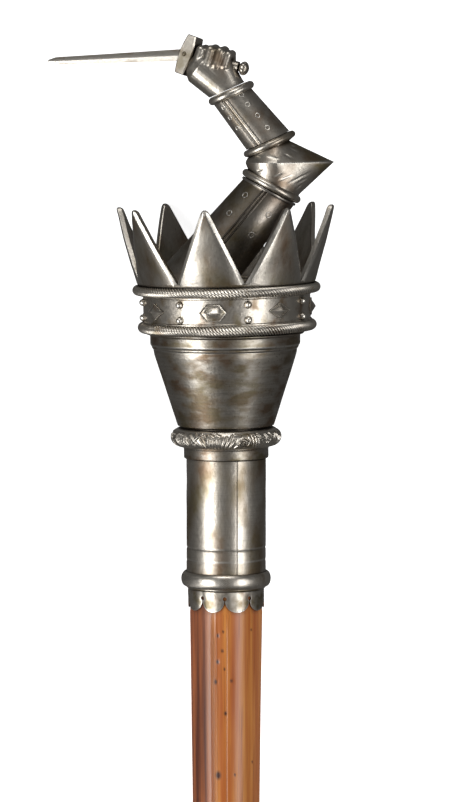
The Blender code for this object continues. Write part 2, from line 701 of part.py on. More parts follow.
def make_elbow(parent):
    """Pointed elbow piece between its two rings."""
    bearings = even_bearings(ARM_SIDES)
    high_depth = HIGH_RING_HALF_WIDTH * TUBE_DEPTH_RATIO
    rings = moulding(HIGH_RING, HIGH_RING_SLOPE, HIGH_RING_HALF_WIDTH, high_depth,
                     HIGH_RING_THICKNESS, bearings)
    tip_angle = elbow_tip_angle()
    for share in ELBOW_HIGH_SHARES:
        rings.append(elbow_section(tip_angle + (HIGH_RING_SLOPE - tip_angle) * share, bearings))
    for share in ELBOW_LOW_SHARES:
        rings.append(elbow_section(tip_angle + (LOW_RING_SLOPE - tip_angle) * share, bearings))
    rings += moulding(LOW_RING, LOW_RING_SLOPE, LOW_RING_HALF_WIDTH, LOW_RING_HALF_WIDTH,
                      LOW_RING_THICKNESS, bearings)
    bm = bmesh.new()
    add_rings(bm, rings)
    return finish(bm, "elbow_cop", silver("elbow_metal", 0.46), parent, 30.0)


def make_forearm(parent):
    """Plate tube from the elbow piece to the wrist ring."""
    bearings = ridged_bearings(FOREARM_RIB_BEARING, RIB_HALF_WIDTH, ARM_SIDES)
    start = shifted(HIGH_RING, HIGH_RING_SLOPE, HIGH_RING_THICKNESS + GAP)
    wide = HIGH_RING_HALF_WIDTH - 0.6 * MM
    narrow = WRIST_RING_HALF_WIDTH
    thickness = WRIST_RING_THICKNESS
    end = shifted(WRIST_RING, HIGH_RING_SLOPE, -thickness - 0.4 * MM)
    lifts = rib_lifts()
    rings = [arm_ring(start, HIGH_RING_SLOPE, wide, wide * TUBE_DEPTH_RATIO, bearings, lifts),
             arm_ring(end, HIGH_RING_SLOPE, narrow, narrow * TUBE_DEPTH_RATIO, bearings, lifts)]
    rings += moulding(WRIST_RING, HIGH_RING_SLOPE, narrow, narrow * TUBE_DEPTH_RATIO,
                      thickness, bearings, downward=False)
    bm = bmesh.new()
    add_rings(bm, rings)
    return finish(bm, "forearm", silver("forearm_metal", 0.5), parent, 30.0)


def add_bone(bm, start, end, start_radius, end_radius, sides=12):
    """Rounded, tapering rod between two points."""
    axis = (end - start).normalized()
    side = axis.orthogonal().normalized()
    other = axis.cross(side)
    rings = []
    for centre, radius, angles in ((start, start_radius, (-80.0, -50.0, -20.0)),
                                   (end, end_radius, (20.0, 50.0, 80.0))):
        for angle in angles:
            turn = math.radians(angle)
            place = centre + axis * (radius * math.sin(turn))
            spread = radius * math.cos(turn)
            ring = []
            for i in range(sides):
                around_axis = 2.0 * math.pi * i / sides
                ring.append(place + side * (spread * math.cos(around_axis))
                            + other * (spread * math.sin(around_axis)))
            rings.append(ring)
    add_rings(bm, rings)


def dagger_frame():
    """Middle of the grip, direction to the pommel, direction up, direction forward."""
    guard = arm_point(GUARD_CENTRE[0], GUARD_CENTRE[1], 0.0)
    run = POMMEL_CENTRE[0] - GUARD_CENTRE[0]
    drop = POMMEL_CENTRE[1] - GUARD_CENTRE[1]
    pommel = guard + Vector((run, -run * math.tan(DAGGER_TURN), drop))
    middle = (guard + pommel) * 0.5
    lift = arm_point(middle.x, middle.z, 0.0) - middle
    lift.x = 0.0
    lift.z = 0.0
    guard += lift
    pommel += lift
    along = (pommel - guard).normalized()
    forward = Vector((0.0, -1.0, 0.0))
    up = forward.cross(along)
    if up.z < 0.0:
        up = -up
    up.normalize()
    forward = along.cross(up)
    if forward.y > 0.0:
        forward = -forward
    return guard, pommel, along, up, forward


def add_finger(bm, middle, axes, place, size, drop):
    """Finger bent over the grip: from its knuckle in front, over, and down behind."""
    along, up, forward = axes
    spots = []
    for front, high in FINGER_PATH:
        spots.append(middle + along * (place * MM) + forward * (front * size * MM)
                     + up * ((high * size - drop) * MM))
    radii = [radius * size * MM for radius in FINGER_RADII]
    for start, end, thick, thin in zip(spots, spots[1:], radii, radii[1:]):
        add_bone(bm, start, end, thick, thin)


def make_fist(parent, guides):
    """Closed hand round the grip: palm, four fingers and a thumb, run together."""
    guard, pommel, along, up, forward = dagger_frame()
    middle = guard.lerp(pommel, 0.5)
    wrist = arm_point(WRIST_RING[0], WRIST_RING[1], 0.0)
    bm = bmesh.new()
    for shift, low, radius in PALM_LOBES:
        top = middle + along * (shift * MM) - up * (low * MM) + forward * (0.8 * MM)
        add_bone(bm, wrist, top, WRIST_RADIUS, radius * MM, 16)
    for place, size, drop in FINGERS:
        add_finger(bm, middle, (along, up, forward), place, size, drop)
    thumb = [middle + along * (a * MM) + up * (u * MM) + forward * (f * MM)
             for a, u, f in THUMB_PATH]
    for start, end, thick, thin in zip(thumb, thumb[1:], THUMB_RADII, THUMB_RADII[1:]):
        add_bone(bm, start, end, thick * MM, thin * MM)
    fist = finish(bm, "fist", silver("fist_metal", 0.48), parent, 60.0)
    remesh = fist.modifiers.new("Run together", "REMESH")
    remesh.mode = "VOXEL"
    remesh.voxel_size = HAND_VOXEL
    smooth = fist.modifiers.new("Soften", "SMOOTH")
    smooth.factor = 0.5
    smooth.iterations = 3
    fewer = fist.modifiers.new("Fewer faces", "DECIMATE")
    fewer.ratio = HAND_KEEP
    for cutter in guides:
        combine(fist, cutter, "DIFFERENCE")
    return fist


def fist_cutters(parent):
    """Room in the fist for the grip, the guard, the pommel and the wrist ring."""
    guard, pommel, along = dagger_frame()[:3]
    grip = bmesh.new()
    add_bone(grip, guard - along * (2.0 * MM), pommel, GRIP_RADIUS + GAP, GRIP_RADIUS + GAP, 10)
    knob = bmesh.new()
    add_bone(knob, pommel - along * (0.6 * MM), pommel + along * (2.0 * MM),
             POMMEL_RADIUS + 2.0 * GAP, POMMEL_RADIUS + 2.0 * GAP, 12)
    plate = bmesh.new()
    frame = guard_axes()
    room = Vector((GUARD_MIDDLE_WIDTH + 2.5 * GAP, GUARD_DEPTH * 1.6, GUARD_HALF_LENGTH * 3.0))
    bmesh.ops.create_cube(plate, size=1.0, matrix=frame @ Matrix.Diagonal((*room, 1.0)))
    wrist = bmesh.new()
    place = shifted(WRIST_RING, HIGH_RING_SLOPE, WRIST_RING_THICKNESS + GAP)
    depth = 12.0 * MM
    corners = []
    for across, deep in ((-30.0, 0.0), (30.0, 0.0), (30.0, -1.0), (-30.0, -1.0)):
        centre = shifted(place, HIGH_RING_SLOPE, deep * depth)
        corners.append((centre[0] + across * MM * math.cos(HIGH_RING_SLOPE),
                        centre[1] + across * MM * math.sin(HIGH_RING_SLOPE)))
    add_rings(wrist, [[Vector((x, y * MM, z)) for x, z in corners] for y in (-40.0, 40.0)])
    made = []
    for bm, name in ((grip, "grip_room_guide"), (knob, "pommel_room_guide"),
                     (plate, "guard_room_guide"), (wrist, "wrist_plane_guide")):
        made.append(guide(bm, name, parent))
    return made


def guard_axes():
    """Frame of the guard: X across it towards the pommel, Y back, Z along it."""
    guard = dagger_frame()[0]
    long = Vector((math.sin(GUARD_TILT), 0.0, math.cos(GUARD_TILT)))
    turn = Matrix.Rotation(-GUARD_TURN, 3, long)
    across = turn @ Vector((math.cos(GUARD_TILT), 0.0, -math.sin(GUARD_TILT)))
    back = long.cross(across)
    frame = Matrix((across, back, long)).transposed().to_4x4()
    return Matrix.Translation(guard) @ frame


def add_guard(bm):
    """Bar across the grip: chamfered ends and a wider middle."""
    frame = guard_axes()
    rings = []
    sides = [(-share, width, depth) for share, width, depth in GUARD_LEVELS]
    for share, width, depth in sides + list(GUARD_LEVELS[::-1]):
        x = (width * GUARD_END_WIDTH or GUARD_MIDDLE_WIDTH) * 0.5
        y = depth * GUARD_DEPTH * 0.5
        z = share * GUARD_HALF_LENGTH
        rings.append([frame @ Vector((sx * x, sy * y, z))
                      for sx, sy in ((-1, -1), (1, -1), (1, 1), (-1, 1))])
    add_rings(bm, rings)


def add_blade(bm):
    """Blade with a ridge low on both of its faces."""
    guard, pommel, along, up, forward = dagger_frame()
    run = BLADE_TIP[0] - guard.x
    tip = guard + Vector((run, -run * math.tan(DAGGER_TURN), BLADE_TIP[1] - guard.z))
    root = guard - along * (0.6 * MM)
    rings = []
    for share, width, thick in BLADE_LEVELS:
        place = root.lerp(tip, share)
        half = BLADE_ROOT_WIDTH * 0.5 * width
        deep = BLADE_THICKNESS * 0.5 * thick
        ridge = place - up * (half * 0.12)
        rings.append([place + up * half, ridge + forward * deep,
                      place - up * half, ridge - forward * deep])
    add_rings(bm, rings)


def add_grip(bm):
    """Round grip that ends in a lobed pommel."""
    guard, pommel, along, up, forward = dagger_frame()
    total = (pommel - guard).length
    profile = [(0.6 * MM, GRIP_RADIUS, False), (total - POMMEL_LENGTH * 0.6, GRIP_RADIUS, False)]
    for share in (-0.36, 0.0, 0.36):
        size = POMMEL_RADIUS * math.sqrt(1.0 - (share * 2.0) ** 2 * 0.6)
        profile.append((total + POMMEL_LENGTH * share, size, True))
    profile.append((total + POMMEL_LENGTH * 0.55, POMMEL_RADIUS * 0.4, False))
    rings = []
    for distance, radius, lobed in profile:
        ring = []
        for i in range(GRIP_SIDES):
            angle = 2.0 * math.pi * i / GRIP_SIDES
            size = radius * POMMEL_HOLLOW if lobed and i % 2 else radius
            ring.append(guard + along * distance + up * (size * math.cos(angle))
                        + forward * (size * math.sin(angle)))
        rings.append(ring)
    add_rings(bm, rings)


def make_dagger(parent):
    """Guard, blade, grip and pommel in one piece."""
    bar = bmesh.new()
    add_guard(bar)
    dagger = finish(bar, "dagger", silver("dagger_metal", 0.5), parent, 25.0)
    for add_shape, name in ((add_blade, "blade_guide"), (add_grip, "grip_guide")):
        shape = bmesh.new()
        add_shape(shape)
        combine(dagger, guide(shape, name, parent), "UNION")
    return dagger


def lean(angle, height):
    """Small lean to the left about a point of the staff's axis."""
    pivot = Vector((0.0, 0.0, height))
    turn = Matrix.Rotation(-angle, 4, "Y")
    return Matrix.Translation(pivot) @ turn @ Matrix.Translation(-pivot)


def world_points(pieces):
    """All corners of the finished pieces, in the world."""
    bpy.context.view_layer.update()
    graph = bpy.context.evaluated_depsgraph_get()
    found = []
    for piece in pieces:
        ready = piece.evaluated_get(graph)
        mesh = ready.to_mesh()
        found += [ready.matrix_world @ vertex.co for vertex in mesh.vertices]
        ready.to_mesh_clear()
    return found


def lay_down(staff, crown, ferrule, pieces):
    """Rest the staff on two points of the crown and the edge of its foot."""
    roll = math.radians(-SKY_BEARING)
    pitch = 0.0
    for _ in range(6):
        turn = Matrix.Rotation(pitch - math.pi / 2.0, 4, "X") @ Matrix.Rotation(roll, 4, "Z")
        staff.matrix_world = turn
        tips = world_points([crown])
        foot = min(world_points([ferrule]), key=lambda p: p.z)
        left = min((p for p in tips if p.x < 0.0), key=lambda p: p.z)
        right = min((p for p in tips if p.x > 0.0), key=lambda p: p.z)
        roll -= (right.z - left.z) / (right.x - left.x)
        crown_low = 0.5 * (left.z + right.z)
        pitch -= (crown_low - foot.z) / (0.5 * (left.y + right.y) - foot.y)
    points = world_points(pieces)
    low = [min(p[i] for p in points) for i in range(3)]
    high = [max(p[i] for p in points) for i in range(3)]
    move = Vector((-0.5 * (low[0] + high[0]), -0.5 * (low[1] + high[1]), -low[2]))
    staff.matrix_world = Matrix.Translation(move) @ staff.matrix_world


def main():
    """Build every piece upright, then lay the staff down."""
    for item in list(bpy.data.objects):
        bpy.data.objects.remove(item, do_unlink=True)
    staff = bpy.data.objects.new("staff_pose", None)
    cup_lean = bpy.data.objects.new("cup_lean", None)
    crown_lean = bpy.data.objects.new("crown_lean", None)
    for empty in (staff, cup_lean, crown_lean):
        bpy.context.scene.collection.objects.link(empty)
    cup_lean.parent = staff
    cup_lean.matrix_local = lean(CUP_LEAN, CUP_LEAN_HEIGHT)
    crown_lean.parent = staff
    crown_lean.matrix_local = lean(CROWN_LEAN, CROWN_LEAN_HEIGHT)
    ferrule = make_ferrule(staff)
    crown = make_crown(crown_lean)
    pieces = [make_cane(staff), ferrule, make_socket(staff), make_bead(staff),
              make_cup(cup_lean), make_leaf_ring(cup_lean), crown, make_band(crown_lean),
              make_floor(crown_lean),
              make_upper_arm(staff), make_elbow(staff), make_forearm(staff),
              make_fist(staff, fist_cutters(staff)), make_dagger(staff)]
    lay_down(staff, crown, ferrule, pieces)


main()
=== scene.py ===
"""Looks of the ceremonial staff: fine meshes, finishes, floor, light and camera.

Lengths are millimetres. Every piece is modelled on the upright staff: +X to its
right, +Y to its back, +Z up its length, with zero at the lower edge of the socket.
A bearing is an angle in degrees round the staff, from its front (-Y) towards its
right (+X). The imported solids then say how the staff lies.
"""
import math

import bmesh
import bpy
import numpy as np
from mathutils import Matrix, Vector
from mathutils.geometry import delaunay_2d_cdt


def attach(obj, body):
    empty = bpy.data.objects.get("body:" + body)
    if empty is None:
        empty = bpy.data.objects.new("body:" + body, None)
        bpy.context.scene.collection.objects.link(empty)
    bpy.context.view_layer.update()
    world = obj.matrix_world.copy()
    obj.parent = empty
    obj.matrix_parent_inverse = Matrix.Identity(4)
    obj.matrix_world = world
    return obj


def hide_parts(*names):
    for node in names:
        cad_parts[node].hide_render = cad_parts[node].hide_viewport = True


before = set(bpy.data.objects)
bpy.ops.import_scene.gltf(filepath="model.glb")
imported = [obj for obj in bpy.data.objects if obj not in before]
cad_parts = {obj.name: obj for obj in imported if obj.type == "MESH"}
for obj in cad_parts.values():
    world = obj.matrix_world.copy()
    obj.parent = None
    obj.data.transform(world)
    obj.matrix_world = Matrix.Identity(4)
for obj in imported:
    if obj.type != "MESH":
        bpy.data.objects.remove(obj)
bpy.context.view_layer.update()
METRES = 0.001

# Cane
CANE_TOP = 60.0
CANE_TENON_RADIUS = 16.2
CANE_RIDGE_BEARING = -19.7
FOOT_END = -1042.0
FERRULE_TOP = -975.0

# Socket with its hem and milled bead
SOCKET_BORE = 16.6
HEM_RADIUS = 17.25
HEM_TOP = 9.0
TUBE_RADIUS = 17.9
SOCKET_TOP = 68.0
TUBE_GROOVES = (27.7, 22.2)
TUBE_SEAM_BEARING = 15.6
NOTCHES = 9
NOTCH_LEFT = -38.8
NOTCH_FRONT = -2.2
NOTCH_RIGHT = 38.1
NOTCH_HOLE_HEIGHT = 6.1
NOTCH_HOLE_RADIUS = 0.95
NOTCH_SLIT = 0.25
BEAD_HEIGHT = 13.6
BEAD_HALF_HEIGHT = 3.4
BEAD_RADIUS = 20.15

# Cup and leaf ring
CONE_START = (21.7, 83.0)
CONE_END = (31.9, 114.9)
LIP_RADIUS = 33.7
LIP_HEIGHT = 119.4
CUP_TOP = 125.0
LEAF_RING_HEIGHT = 77.9
LEAF_RING_CENTRE = 20.3
LEAF_RING_BULGE = 4.25

# Crown and band
POINTS = 8
FIRST_TIP = -10.5
SLEEVE_BORE = 34.6
SLEEVE_RADIUS = 36.2
SLEEVE_FOOT = 125.8
WEB_HEIGHT = 147.1
NOTCH_HEIGHT = 148.3
TIP_HEIGHT = 181.6
CROWN_RADIUS = 40.4
CROWN_FLARE = 0.285
POINT_THICKNESS = 3.0
BAND_BORE = 36.6
BAND_RADIUS = 37.6
LOW_ROPE = (37.9, 127.8, 2.35)
HIGH_ROPE = (40.1, 144.6, 2.2)
SETTINGS = 15
FIRST_SETTING = -81.5
SETTING_HEIGHT = 135.9
JEWEL_HALF_LENGTH = 6.1
JEWEL_HALF_WIDTH = 3.75
JEWEL_RISE = 2.3
PELLET_OFFSET = 3.4
FLOOR_TOP = 146.8
FLOOR_RADIUS = 34.2
FLOOR_THICKNESS = 1.6

# Arm: places are (right, height), and it leans back as it rises
ARM_FORWARD = 2.0
ARM_LEAN = math.tan(math.radians(4.5))
SHOULDER = (-14.9, 147.1)
SHOULDER_HALF = (19.2, 15.0)
ARM_RIB_BEARING = -8.0
FOREARM_RIB_BEARING = -26.0
LOW_RING = (20.3, 190.4)
LOW_SLOPE = math.radians(-27.7)
LOW_RING_HALF = 12.8
LOW_RING_BULGE = 1.75
HIGH_RING = (19.4, 209.2)
HIGH_SLOPE = math.radians(24.0)
HIGH_RING_HALF = 11.1
HIGH_RING_BULGE = 1.5
WRIST_RING = (2.3, 231.9)
WRIST_RING_HALF = 9.2
WRIST_RING_BULGE = 1.8
DEPTH_RATIO = 0.97
ELBOW_HINGE = (4.06, 200.84)
ELBOW_TIP = (48.4, 201.2)
ELBOW_TOP_EDGE = (30.2, 209.8)
ELBOW_LOW_EDGE = (33.3, 187.2)
ELBOW_RIDGE = 1.6

# Dagger and hand
DAGGER_TURN = math.radians(17.0)
GUARD_TURN = math.radians(25.0)
GUARD_CENTRE = (-16.7, 248.6)
GUARD_TILT = math.radians(19.8)
GUARD_HALF_LENGTH = 9.1
GUARD_DEPTH = 9.0
GUARD_MIDDLE_WIDTH = 6.8
GUARD_END_WIDTH = 4.1
BLADE_TIP = (-80.8, 246.0)
BLADE_WIDTH = 5.5
BLADE_THICKNESS = 2.2
POMMEL_CENTRE = (7.9, 242.9)


def unit(vector):
    """The vector at length one."""
    vector = np.asarray(vector, float)
    return vector / np.linalg.norm(vector)


def polar(radius, bearing, height):
    """Points at radii, bearings and heights of the upright staff."""
    turn = np.radians(bearing)
    spread = np.broadcast_arrays(radius * np.sin(turn), -radius * np.cos(turn), height)
    return np.stack(spread, -1)


def arm_point(right, height, forward):
    """Points of the arm, leaned back with their height above the shoulder."""
    back = (np.asarray(height) - SHOULDER[1]) * ARM_LEAN - forward - ARM_FORWARD
    return np.stack(np.broadcast_arrays(right, back, height), -1).astype(float)


def lying_matrix():
    """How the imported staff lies, read from the two ends of its cane and from its elbow."""
    cane = np.array([v.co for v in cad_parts["cane_shaft"].data.vertices], float)
    ends = []
    for end in (cane[:, 1].min(), cane[:, 1].max()):
        rim = cane[abs(cane[:, 1] - end) < 3.0 * METRES]
        spread = rim - rim[0]
        offset = np.linalg.lstsq(2.0 * spread, (spread ** 2).sum(1), rcond=1e-4)[0]
        ends.append(rim[0] + offset)
    up = unit(ends[1] - ends[0])
    origin = ends[1] - up * CANE_TOP * METRES
    elbow = np.array([v.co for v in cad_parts["elbow_cop"].data.vertices], float)
    out = elbow - origin
    out -= np.outer(out @ up, up)
    tip = unit(out[np.argmax((out ** 2).sum(1))])
    local = arm_point(*ELBOW_TIP, 0.0)
    turn = math.atan2(local[1], local[0])
    right = tip * math.cos(turn) - np.cross(up, tip) * math.sin(turn)
    back = np.cross(up, right)
    matrix = Matrix(np.stack((right, back, up), 1).tolist()).to_4x4()
    return Matrix.Translation(origin.tolist()) @ matrix


STAFF = lying_matrix()


class Shape:
    """Points, faces and per-point values of one piece, gathered part by part; each value marks tarnish,
    rubbing or stain, and on some pieces a painted highlight.
    """

    def __init__(self):
        self.points = []
        self.wear_stain_and_highlight = []
        self.faces = []
        self.total = 0

    def add(self, points, faces, wear_stain_and_highlight=0.5):
        """Add points and faces; the per-point value runs from 0, tarnished, to 1, rubbed bright where worn
        or brightened as a painted highlight.
        """
        points = np.asarray(points, float).reshape(-1, 3)
        self.points.append(points)
        self.wear_stain_and_highlight.append(np.broadcast_to(np.ravel(wear_stain_and_highlight), len(points)))
        self.faces += [[self.total + i for i in face] for face in faces]
        self.total += len(points)

    def skin(self, grid, wear_stain_and_highlight=0.5, closed=False):
        """Skin rings of points; a shape that isn't closed on itself gets end caps."""
        rows, columns = grid.shape[:2]
        index = np.arange(rows * columns).reshape(rows, columns)
        low = index if closed else index[:-1]
        high = np.roll(index, -1, 0) if closed else index[1:]
        quads = np.stack((low, np.roll(low, -1, 1), np.roll(high, -1, 1), high), -1)
        faces = quads.reshape(-1, 4).tolist()
        if not closed:
            faces += [index[0][::-1].tolist(), index[-1].tolist()]
        self.add(grid, faces, wear_stain_and_highlight)


def keep_upright(mesh):
    """Keep each point's place on the upright staff, for the grain of its finish."""
    places = np.zeros(len(mesh.vertices) * 3, np.float32)
    mesh.vertices.foreach_get("co", places)
    layer = mesh.attributes.new("upright", "FLOAT_VECTOR", "POINT")
    layer.data.foreach_set("vector", places)


def add_piece(name, shape, finish, nodes, sharp=35.0, lean=None):
    """Make a piece of the staff that stands for its solids and rides with them."""
    mesh = bpy.data.meshes.new(name)
    place = STAFF @ (lean or Matrix.Identity(4))
    mesh.from_pydata((np.concatenate(shape.points) * METRES).tolist(), [], shape.faces)
    keep_upright(mesh)
    mesh.transform(place)
    layer = mesh.attributes.new("wear_stain_and_highlight", "FLOAT", "POINT")
    layer.data.foreach_set("value", np.concatenate(shape.wear_stain_and_highlight).astype(np.float32))
    bm = bmesh.new()
    bm.from_mesh(mesh)
    bmesh.ops.recalc_face_normals(bm, faces=bm.faces)
    bm.to_mesh(mesh)
    bm.free()
    mesh.materials.append(finish)
    mesh.shade_smooth()
    mesh.set_sharp_from_angle(angle=math.radians(sharp))
    made = bpy.data.objects.new(name, mesh)
    bpy.context.scene.collection.objects.link(made)
    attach(made, "root")
    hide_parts(*nodes)
    return made


def leaning(degrees, height):
    """Small lean to the left about a point of the staff's axis."""
    pivot = Vector((0.0, 0.0, height * METRES))
    turn = Matrix.Rotation(-math.radians(degrees), 4, "Y")
    return Matrix.Translation(pivot) @ turn @ Matrix.Translation(-pivot)


CUP_LEAN = leaning(0.5, 72.0)
CROWN_LEAN = leaning(1.2, 150.0)


def rounded(corners, fillet=0.3, steps=4):
    """Profile with each inner corner rounded by a short curve."""
    corners = [np.array(c, float) for c in corners]
    path = [corners[0]]
    for before, corner, after in zip(corners, corners[1:], corners[2:]):
        into = before - corner
        out = after - corner
        cut = min(fillet, 0.45 * np.linalg.norm(into), 0.45 * np.linalg.norm(out))
        start = corner + unit(into) * cut
        end = corner + unit(out) * cut
        for step in range(steps + 1):
            t = step / steps
            path.append(start * (1 - t) ** 2 + corner * 2 * t * (1 - t) + end * t * t)
    path.append(corners[-1])
    return np.array(path)


def evenly(path, step):
    """Path with extra points, so that no stretch is longer than a step."""
    points = [path[0]]
    for start, end in zip(path, path[1:]):
        count = max(1, int(np.linalg.norm(end - start) / step))
        points += [start + (end - start) * i / count for i in range(1, count + 1)]
    return np.array(points)


def ripple(points, length, seed):
    """Smooth uneven field of about -1 to 1 whose waves are near a length."""
    random = np.random.default_rng(seed)
    total = np.zeros(points.shape[:-1])
    for _ in range(7):
        wave = unit(random.normal(size=3)) * 2 * math.pi / (length * random.uniform(0.7, 1.6))
        total += np.sin(points @ wave + random.uniform(0, 2 * math.pi))
    return total / 3.5


def bell(distance, width):
    """Soft bump of height one."""
    return np.exp(-(distance / width) ** 2)


def turned(shape, path, columns, dent=0.03, seed=1, wear_stain_and_highlight=0.5, closed=True):
    """Skin a turned profile, very slightly out of true as old handwork is."""
    bearings = np.arange(columns) * 360.0 / columns
    radius, height = path[:, :1], path[:, 1:]
    grid = polar(radius + 0 * bearings, bearings + 0 * radius, height + 0 * bearings)
    off = ripple(grid, 14.0, seed) * dent
    grid = polar(radius + off, bearings + 0 * off, height + 0 * off)
    shape.skin(grid, wear_stain_and_highlight, closed)


def bearing_gap(bearings, centre):
    """Signed difference of bearings, from -180 to 180."""
    return (bearings - centre + 180.0) % 360.0 - 180.0


# Marks on the cane: bearing, height, radius and depth
CANE_MARKS = ((-17.2, -31.5, 0.8, 0.3), (-13.9, -22.4, 0.7, 0.25), (-6.2, -17.4, 0.6, 0.2),
              (-4.5, -8.7, 0.5, 0.2), (-2.7, -25.7, 0.5, 0.15), (8.7, -31.0, 0.6, 0.2),
              (44.0, -8.4, 0.5, 0.2), (-13.3, -10.5, 0.6, 0.2), (-1.0, -45.8, 0.7, 0.2),
              (49.7, -68.8, 0.5, 0.15), (14.8, -73.8, 0.5, 0.15), (-13.4, -74.0, 1.3, 0.1))


def make_cane():
    """The cane with its grooved ridge, nicks and stains, down into the ferrule."""
    fine = np.concatenate((np.arange(-180.0, 180.0, 2.5), np.arange(-30.0, -9.0, 0.5),
                           np.arange(-1.0, 4.0, 0.4)))
    bearings = np.unique(np.round(fine, 2))[None, :]
    heights = np.concatenate(((CANE_TOP, 10.0), np.arange(9.0, -90.0, -0.7),
                              np.arange(-92.0, FERRULE_TOP + 1.0, -12.0), (FERRULE_TOP + 1.0,)))[:, None]
    body = 10.9 + 5.45 * np.exp(heights / 360.0)
    radius = np.where(heights > -1.0, CANE_TENON_RADIUS, body)
    side = bearing_gap(bearings, CANE_RIDGE_BEARING)
    ridge = 0.36 * bell(side + 2.9, 1.5) + 0.3 * bell(side - 3.3, 1.4) - 0.12 * bell(side, 1.3)
    ridge = ridge + 0.12 * bell(side, 6.0)
    ridge = ridge - 0.16 * bell(bearing_gap(bearings, 1.4), 0.6)
    radius = radius + ridge * np.clip((2.0 - heights) / 14.0, 0.0, 1.0)
    stain = np.zeros(np.broadcast_shapes(radius.shape, bearings.shape))
    for bearing, height, size, depth in CANE_MARKS:
        across = np.radians(bearing_gap(bearings, bearing)) * 15.5
        spot = np.exp(-(across ** 2 + ((heights - height) / 1.5) ** 2) / size ** 2)
        radius = radius - spot * depth
        stain = np.maximum(stain, spot)
    grid = polar(radius, bearings, heights)
    radius = radius + ripple(grid * (1.0, 1.0, 0.15), 9.0, 3) * 0.05
    grid = polar(radius, bearings, heights)
    shape = Shape()
    tenon = polar(np.full((2, 1), 10.2), bearings, np.array([[FERRULE_TOP + 0.6], [-1011.7]]))
    shape.skin(np.concatenate((grid, tenon)), np.concatenate((stain, np.zeros(tenon.shape[:2]))))
    add_piece("cane", shape, wood_finish(), ["cane_shaft"], 60.0)


def make_ferrule():
    """Metal cup on the foot with a bead at its mouth."""
    path = rounded([(10.5, FERRULE_TOP - 37.0), (10.5, FERRULE_TOP), (11.8, FERRULE_TOP),
                    (12.5, FERRULE_TOP - 1.3), (11.8, FERRULE_TOP - 2.6), (11.3, -1016.0),
                    (11.1, FOOT_END + 5.0), (10.6, FOOT_END + 1.2), (9.0, FOOT_END)], 0.4)
    shape = Shape()
    bottom = np.array([(0.01, FOOT_END), (0.01, FERRULE_TOP - 37.0)])
    turned(shape, evenly(np.concatenate((path, bottom)), 4.0), 96)
    add_piece("ferrule", shape, plated("ferrule_finish", 0.42, 0.55),
              ["foot_ferrule"])


def notch_bearings():
    """Bearings of the keyhole notches, the three in front as measured, the rest even."""
    rest = NOTCHES - 3
    pitch = (360.0 + NOTCH_LEFT - NOTCH_RIGHT) / (rest + 1)
    return [NOTCH_LEFT, NOTCH_FRONT, NOTCH_RIGHT] + [NOTCH_RIGHT + pitch * i
                                                     for i in range(1, rest + 1)]


def hem_outline():
    """Lower edge of the hem: round lobes with a keyhole between each two."""
    notches = notch_bearings()
    per_degree = math.radians(HEM_RADIUS)
    outline = []
    spread = math.degrees(math.asin(NOTCH_SLIT / NOTCH_HOLE_RADIUS))
    foot = NOTCH_HOLE_HEIGHT - NOTCH_HOLE_RADIUS
    for start, end in zip(notches, notches[1:] + [notches[0] + 360.0]):
        left, right = start * per_degree, end * per_degree
        for angle in np.linspace(90.0, -90.0 + spread, 9):
            turn = math.radians(angle)
            outline.append((left + NOTCH_HOLE_RADIUS * math.cos(turn),
                            NOTCH_HOLE_HEIGHT + NOTCH_HOLE_RADIUS * math.sin(turn)))
        half = 0.5 * (right - left) - NOTCH_SLIT
        middle = 0.5 * (left + right)
        for angle in np.linspace(180.0, 360.0, 26)[1:-1]:
            turn = math.radians(angle)
            reach = math.copysign(abs(math.cos(turn)) ** 0.93, math.cos(turn))
            outline.append((middle + half * reach, foot * (1.0 - abs(math.sin(turn)) ** 0.93)))
        for angle in np.linspace(270.0 - spread, 90.0, 9)[:-1]:
            turn = math.radians(angle)
            outline.append((right + NOTCH_HOLE_RADIUS * math.cos(turn),
                            NOTCH_HOLE_HEIGHT + NOTCH_HOLE_RADIUS * math.sin(turn)))
    outline.append((notches[0] * per_degree + math.tau * HEM_RADIUS,
                    NOTCH_HOLE_HEIGHT + NOTCH_HOLE_RADIUS))
    return np.array(outline)


def make_hem():
    """Thin scalloped sheet round the top of the cane."""
    edge = hem_outline()
    start, end = edge[0, 0], edge[-1, 0]
    along = np.linspace(end, start, 181)
    border = np.concatenate((edge, np.stack((along, 0 * along + HEM_TOP), 1)))
    xs, ys = np.meshgrid(np.linspace(start, end, 180)[1:-1], np.arange(0.4, HEM_TOP - 0.3, 0.6))
    inner = np.stack((xs.ravel(), ys.ravel()), 1)
    gap = np.sqrt(((inner[:, None] - edge[None]) ** 2).sum(2)).min(1)
    points = [Vector(p) for p in np.concatenate((border, inner[gap > 0.3])).tolist()]
    ring = list(range(len(border)))
    flat, _, faces = delaunay_2d_cdt(points, [], [ring], 1, 1e-5)[:3]
    flat = np.array([tuple(p) for p in flat])
    near = np.sqrt(((flat[:, None] - edge[None]) ** 2).sum(2)).min(1)
    bearing = np.degrees(flat[:, 0] / HEM_RADIUS)
    lift = 0.12 * (1.0 - bell(near, 0.7)) + 0.1 * ripple(polar(17.0, bearing, flat[:, 1]), 6.0, 5)
    lift = lift - 0.16
    outer = polar(HEM_RADIUS + lift, bearing, flat[:, 1])
    inside = polar(SOCKET_BORE + 0.05 + 0 * lift, bearing, flat[:, 1])
    count = len(flat)
    walls = {}
    for face in faces:
        for a, b in zip(face, face[1:] + face[:1]):
            walls[(a, b)] = (b, a) not in walls and not walls.pop((b, a), False)
    rim = [pair for pair in walls if (pair[1], pair[0]) not in walls]
    skin = [list(face) for face in faces]
    skin += [[i + count for i in face[::-1]] for face in faces]
    skin += [[b, a, a + count, b + count] for a, b in rim]
    shape = Shape()
    shape.add(np.concatenate((outer, inside)), skin, np.tile(0.45 + 0.5 * bell(near, 0.35), 2))
    add_piece("socket_hem", shape, plated("hem_finish", 0.6, 0.42, blotch=160.0),
              ["socket"], 40.0)


